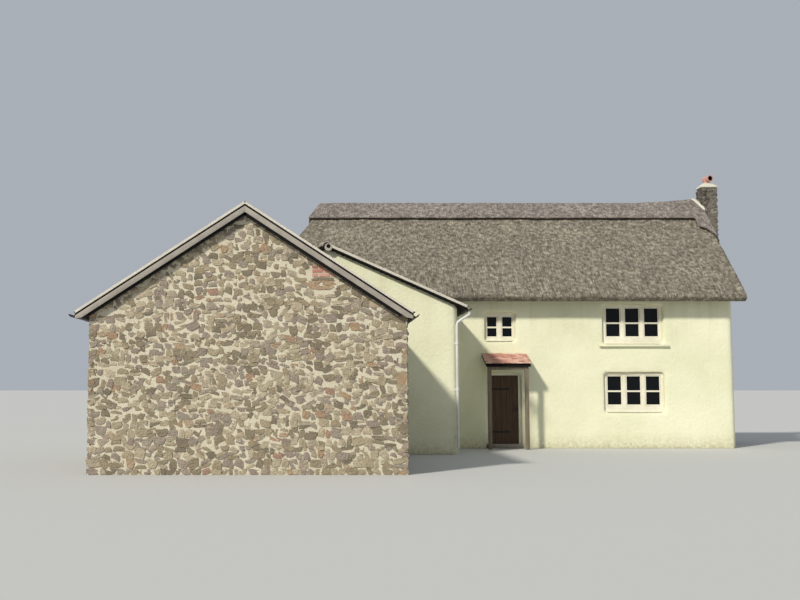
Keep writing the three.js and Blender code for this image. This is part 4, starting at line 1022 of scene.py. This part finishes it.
# Each frame's side, head, foot and mullion, and its number of lights
WIDE_FRAME = (0.085, 0.078, 0.190, 0.100, 3)
SMALL_FRAME = (0.062, 0.095, 0.110, 0.104, 2)
WINDOWS = ("upper_right", "upper_left", "lower_right", "back_upper_left", "back_upper_right",
           "back_lower_left", "back_lower_right")
for name in WINDOWS:
    side, head, foot, mullion, lights = SMALL_FRAME if name == "upper_left" else WIDE_FRAME
    low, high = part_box(name + "_window_frame")
    outward = 1 if name.startswith("back") else -1
    softened(name + "_window_timbers", paint, "painted_wood", 0.006, name + "_window_frame")
    light = (high[0] - low[0] - 2 * side - (lights - 1) * mullion) / lights
    face = low[1] if outward < 0 else high[1]
    front, back = sorted((face - outward * SASH_SET_BACK, face - outward * (SASH_SET_BACK + SASH_DEEP)))
    parts = []
    for i in range(lights):
        left = low[0] + side + i * (light + mullion)
        parts += sash(left, left + light, front, back, low[2] + foot, high[2] - head)
    finished(joined(name + "_casements", parts), paint, "painted_wood")
    near, far = sorted((face + outward * SILL_OUT, face - outward * SILL_IN))
    sill = bar(name + "_sill", (low[0] + SILL_IN, near, low[2] + SILL_FOOT),
               (high[0] - SILL_IN, far, low[2] + SILL_TOP), SILL_SOFT)
    finished(sill, paint, "painted_wood")
softened("upper_right_ledge", limewash, "limewash", 0.014, "upper_right_window_ledge")


# Doors: upright planks with a narrow joint between them, hung on long iron straps. The front
# door is dark stained, the outbuilding's is bare and weathered grey.
PLANK_JOINT, PLANK_SOFT = 0.003, 0.005
STRAP_WIDE, STRAP_SHARE, STRAP_IN, STRAP_OUT = 0.05, 0.72, 0.002, 0.008
RING_RADIUS, RING_THICK, RING_OUT, RING_FROM_EDGE = 0.04, 0.014, 0.014, 0.07
door_wood = two_tone("door_wood", "5f4a37", "35291f", 3.0, 20.0, 0.6, 0.003, (6, 6, 0.7))
grey_wood = two_tone("old_wood", "9a9186", "655e54", 2.5, 16.0, 0.85, 0.005, (3, 3, 0.8))
oak = two_tone("porch_oak", "8c7f6e", "574d41", 2.5, 18.0, 0.8, 0.005, (5, 5, 0.7))
iron = two_tone("strap_iron", "2a2826", "171615", 6.0, 60.0, 0.55, 0.001)


def plank_door(node, material, slot, count, strap_levels):
    """Planks across a door leaf, along X or Y, with straps on its outer face, the lower one."""
    low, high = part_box(node)
    axis = 0 if high[0] - low[0] > high[1] - low[1] else 1
    wide = (high[axis] - low[axis]) / count
    parts = []
    for i in range(count):
        corner, far = list(low), list(high)
        corner[axis] = low[axis] + i * wide + PLANK_JOINT / 2
        far[axis] = low[axis] + (i + 1) * wide - PLANK_JOINT / 2
        parts.append(bar("plank", corner, far, PLANK_SOFT))
    finished(joined(node + "_planks", parts), material, slot, node)
    straps = []
    thin = 1 - axis
    for level in strap_levels:
        corner, far = list(low), list(high)
        corner[thin], far[thin] = low[thin] - STRAP_OUT, low[thin] + STRAP_IN
        corner[2], far[2] = level, level + STRAP_WIDE
        far[axis] = low[axis] + STRAP_SHARE * (high[axis] - low[axis])
        straps.append(bar("strap", corner, far, BAR_SOFT))
    ring_at = [0, 0, (low[2] + high[2]) / 2]
    ring_at[axis] = high[axis] - RING_FROM_EDGE
    ring_at[thin] = low[thin] - RING_OUT
    turn = (math.pi / 2, 0, 0) if axis == 0 else (0, math.pi / 2, 0)
    ring = primitive("ring", bpy.ops.mesh.primitive_torus_add, major_radius=RING_RADIUS,
                     minor_radius=RING_THICK / 2, major_segments=20, minor_segments=8,
                     location=ring_at, rotation=turn)
    finished(joined(node + "_ironwork", straps + [ring]), iron, "door_wood")


door_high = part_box("front_door")[1][2]
plank_door("front_door", door_wood, "door_wood", 5, (0.42, door_high - 0.40))
plank_door("barn_door", grey_wood, "old_wood", 7, (0.40, 1.50))
softened("front_door_jambs", paint, "painted_wood", 0.008, "front_door_frame")
softened("barn_door_jambs", grey_wood, "old_wood", 0.008, "barn_door_frame")
softened("porch_posts", oak, "old_wood", 0.010, "porch_frame")
step_stone = two_tone("step_stone", "a29a8b", "756d60", 3.0, 24.0, 0.9, 0.006)
softened("front_step", step_stone, "rubble", 0.015, "front_door_step")

# Verges: the outbuilding's grey bargeboards under a pale strip of mortar and the edges of the undercloak,
# painted near black for the shade under the slates (painted shade), with a near-black strip below and
# behind the boards that stands for the shadow they cast on the wall (painted shadow), all laid along the
# rake.
barge = two_tone("bargeboard", "aaa398", "857e74", 2.0, 14.0, 0.85, 0.004, (1.5, 6, 1.5))
for side in ("right", "left"):
    board = "barn_bargeboard_" + side
    softened(board + "_planed", barge, "old_wood", 0.005, board)

# Each strip's top, depth and reach in front of the slab, its finish and slot, where it stops short,
# and the number of pieces that it is laid in, with the gap between them
STRIP_IN, STRIP_SOFT = 0.03, 0.004
verge_mortar = mortar_finish("verge_mortar", "e8e1d2", "c9c1b2")
# Near black, far darker than slate or timber: this finish paints the shade under the slates, under the roof
# decks and behind the boards (painted shade)
undercloak = two_tone("undercloak", "121110", "090808", 3.0, 12.0, 0.9, 0.004)
BARN_STRIPS = (("_verge_mortar", 0.030, 0.046, 0.017, verge_mortar, "mortar", 0.0, 1, 0.0),
               ("_undercloak", -0.017, 0.032, 0.004, undercloak, "slate", 0.0, 1, 0.0),
               # A near-black strip below the bargeboard, standing for the shadow the board casts on the
               # wall (painted shadow)
               ("_painted_shadow_strip", -0.12, 0.087, -0.012, undercloak, "old_wood", 0.16, 1, 0.0))
WING_STRIPS = (("_verge_mortar", 0.026, 0.062, 0.016, verge_mortar, "mortar", 0.0, 1, 0.0),
               ("_undercloak", -0.037, 0.034, 0.008, undercloak, "slate", 0.0, 26, 0.045))
for node, side, rise, strips in (("barn_roof_right", 1, BARN_RISE, BARN_STRIPS),
                                 ("barn_roof_left", -1, BARN_RISE, BARN_STRIPS),
                                 ("wing_roof_right", 1, WING_RISE, WING_STRIPS)):
    low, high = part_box(node)
    apex = Vector((low[0] if side > 0 else high[0], 0, high[2]))
    run = Vector((1, 0, -side * rise)).normalized()
    for name, top, deep, proud, material, slot, stop, pieces, gap in strips:
        each = ((high[0] - low[0]) * math.hypot(1, rise) - stop) / pieces
        parts = []
        for i in range(pieces):
            left, right = sorted((side * i * each, side * ((i + 1) * each - gap)))
            parts.append(bar("strip", (left, low[1] - proud, top - deep), (right, low[1] + STRIP_IN, top),
                             STRIP_SOFT))
        strip = joined(node + name, parts)
        strip.data.transform(axes_at(apex, run, Y, run.cross(Y)))
        finished(strip, material, slot)

# Wing ridge end: the last half-round tile is stopped with a plug of pale mortar, pressed in by hand round a
# hollow; the hollow is a near-black disc painted with its shade (painted shade).
END_AT, END_DEEP = (cap_apex + 0.03, cap_low[1] - 0.012, cap_high[2] - 0.105), 0.03
RIDGE_ENDS = (("wing_ridge_end_mortar", 0.095, 0.0, 0.0, pale_tile),
              # A near-black disc, proud of the plug, painted as the shade of the hollow (painted shade)
              ("wing_ridge_end_painted_hollow_shade", 0.050, 0.028, 0.012, undercloak))
for name, radius, lift, proud, material in RIDGE_ENDS:
    end = primitive(name, bpy.ops.mesh.primitive_cylinder_add, vertices=28, radius=radius, depth=END_DEEP,
                    location=(END_AT[0], END_AT[1] - proud, END_AT[2] + lift), rotation=(math.pi / 2, 0, 0))
    apply_modifier(end, "soft", "BEVEL", width=0.006, segments=2, limit_method="ANGLE")
    finished(end, material, "mortar")

# Rainwater: black half-round gutters hang in thin straps along the eaves, and a white pipe is held
# to the wing by three collars, each with a lug on either side.
STRAPS_APART, STRAPS_FROM_END = 0.95, 0.12
GUTTER_STRAP_WIDE, GUTTER_STRAP_THICK = 0.03, 0.004
PIPE_RADIUS = 0.034
COLLAR_LEVELS, COLLAR_THICK, COLLAR_HIGH = (0.45, 1.6, 2.75), 0.007, 0.06
LUG_HALF_WIDE, LUG_FRONT, LUG_BACK, LUG_HALF_HIGH = 0.065, 0.012, 0.046, 0.02
gutter_black = two_tone("dark_gutter", "2b2b2c", "19191a", 3.0, 30.0, 0.45, 0.001)
pipe_white = two_tone("white_pipe", "e2e2de", "b9b9b0", 2.0, 30.0, 0.4, 0.001)


def gutter_straps(name, node):
    """Thin straps under a gutter, about a metre apart."""
    low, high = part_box(node)
    radius = (high[0] - low[0]) / 2
    kind = ridge_tile_kind("strap_kind", 16, radius + GUTTER_STRAP_THICK, GUTTER_STRAP_WIDE,
                           GUTTER_STRAP_THICK)
    kind.data.transform(Matrix.Rotation(math.pi, 4, "Y"))
    count = max(3, round((high[1] - low[1]) / STRAPS_APART))
    laid = []
    for i in range(count):
        at = low[1] + STRAPS_FROM_END + (high[1] - low[1] - 2 * STRAPS_FROM_END) * i / (count - 1)
        laid.append(put(kind, Matrix.Translation(((low[0] + high[0]) / 2, at, high[2])), 0.5))
    discard([kind])
    finished(joined(name, laid), gutter_black, "dark_gutter")


gutter_straps("wing_gutter_straps", "wing_gutter")
gutter_straps("barn_right_gutter_straps", "barn_gutter_right")
gutter_straps("barn_left_gutter_straps", "barn_gutter_left")
pipe_low, pipe_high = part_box("wing_downpipe")
pipe_x, pipe_y = pipe_low[0] + PIPE_RADIUS, pipe_high[1] - PIPE_RADIUS
collars = []
for level in COLLAR_LEVELS:
    collar = primitive("collar", bpy.ops.mesh.primitive_cylinder_add, vertices=20,
                       radius=PIPE_RADIUS + COLLAR_THICK, depth=COLLAR_HIGH,
                       location=(pipe_x, pipe_y, level))
    apply_modifier(collar, "soft", "BEVEL", width=0.004, segments=1, limit_method="ANGLE")
    collars.append(collar)
    collars.append(bar("lug", (pipe_x - LUG_HALF_WIDE, pipe_y + LUG_FRONT, level - LUG_HALF_HIGH),
                       (pipe_x + LUG_HALF_WIDE, pipe_y + LUG_BACK, level + LUG_HALF_HIGH), BAR_SOFT))
finished(joined("wing_pipe_collars", collars), pipe_white, "white_pipe")


# Finishes of the CAD parts that stay as they are: each takes the finish of its slot, but the rubble walls
# show the mortar between their stones, and the slate decks and the porch's boarded slope are painted near
# black for the shade under their slates and tiles (painted shade).
def joints(name, base, shade, size, roughness, depth):
    """Boards or flags: rows of blocks with a dark line between them."""
    made, tree, place, _, speckle = start_finish(name, roughness, 1.5, 18.0)
    colour = cover(tree, base, shade, speckle, 0.6)
    block = add(tree, "ShaderNodeTexBrick", {
        "Vector": place, "Color1": "ffffff", "Color2": "b8b8b8", "Mortar": "000000",
        "Scale": 1.0, "Mortar Size": 0.004, "Brick Width": size[0], "Row Height": size[1]})
    colour = cover(tree, colour, block.outputs["Color"], 0.7, way="MULTIPLY")
    return end_finish(made, colour, block.outputs["Fac"], depth, invert=True)


by_slot = {
    "limewash": limewash,
    "thatch": thatch,
    "thatch_ridge": ridge_finish,
    "rubble": stone,
    "mortar": pale_mortar,
    "terracotta": terracotta,
    "slate": slate_finish,
    "clay_tile": clay_finish,
    "painted_wood": paint,
    "old_wood": grey_wood,
    "door_wood": door_wood,
    "window_glass": glass,
    "stone_floor": joints("stone_floor", "8f887b", "6b655a", (0.7, 0.5), 0.85, 0.004),
    "floor_boards": joints("floor_boards", "8c6b48", "5f452c", (2.4, 0.18), 0.6, 0.003),
    "dark_gutter": gutter_black,
    "white_pipe": pipe_white,
}
MORTARED = ("barn_front_gable", "barn_back_gable", "barn_right_wall", "barn_left_wall")
# Roof decks painted near black with the shade that falls under their slates and tiles (painted shade)
PAINTED_SHADE_UNDER_TILES = ("wing_roof_right", "wing_roof_left", "barn_roof_right", "barn_roof_left", "porch_roof")
own_finish = {name: wall_mortar for name in MORTARED} | {name: undercloak for name in PAINTED_SHADE_UNDER_TILES}
for part in frame["record"]["subparts"]:
    node = nodes[part["node"]]
    for held in node.material_slots:
        held.material = own_finish.get(part["node"], by_slot[part["material_slot"]])
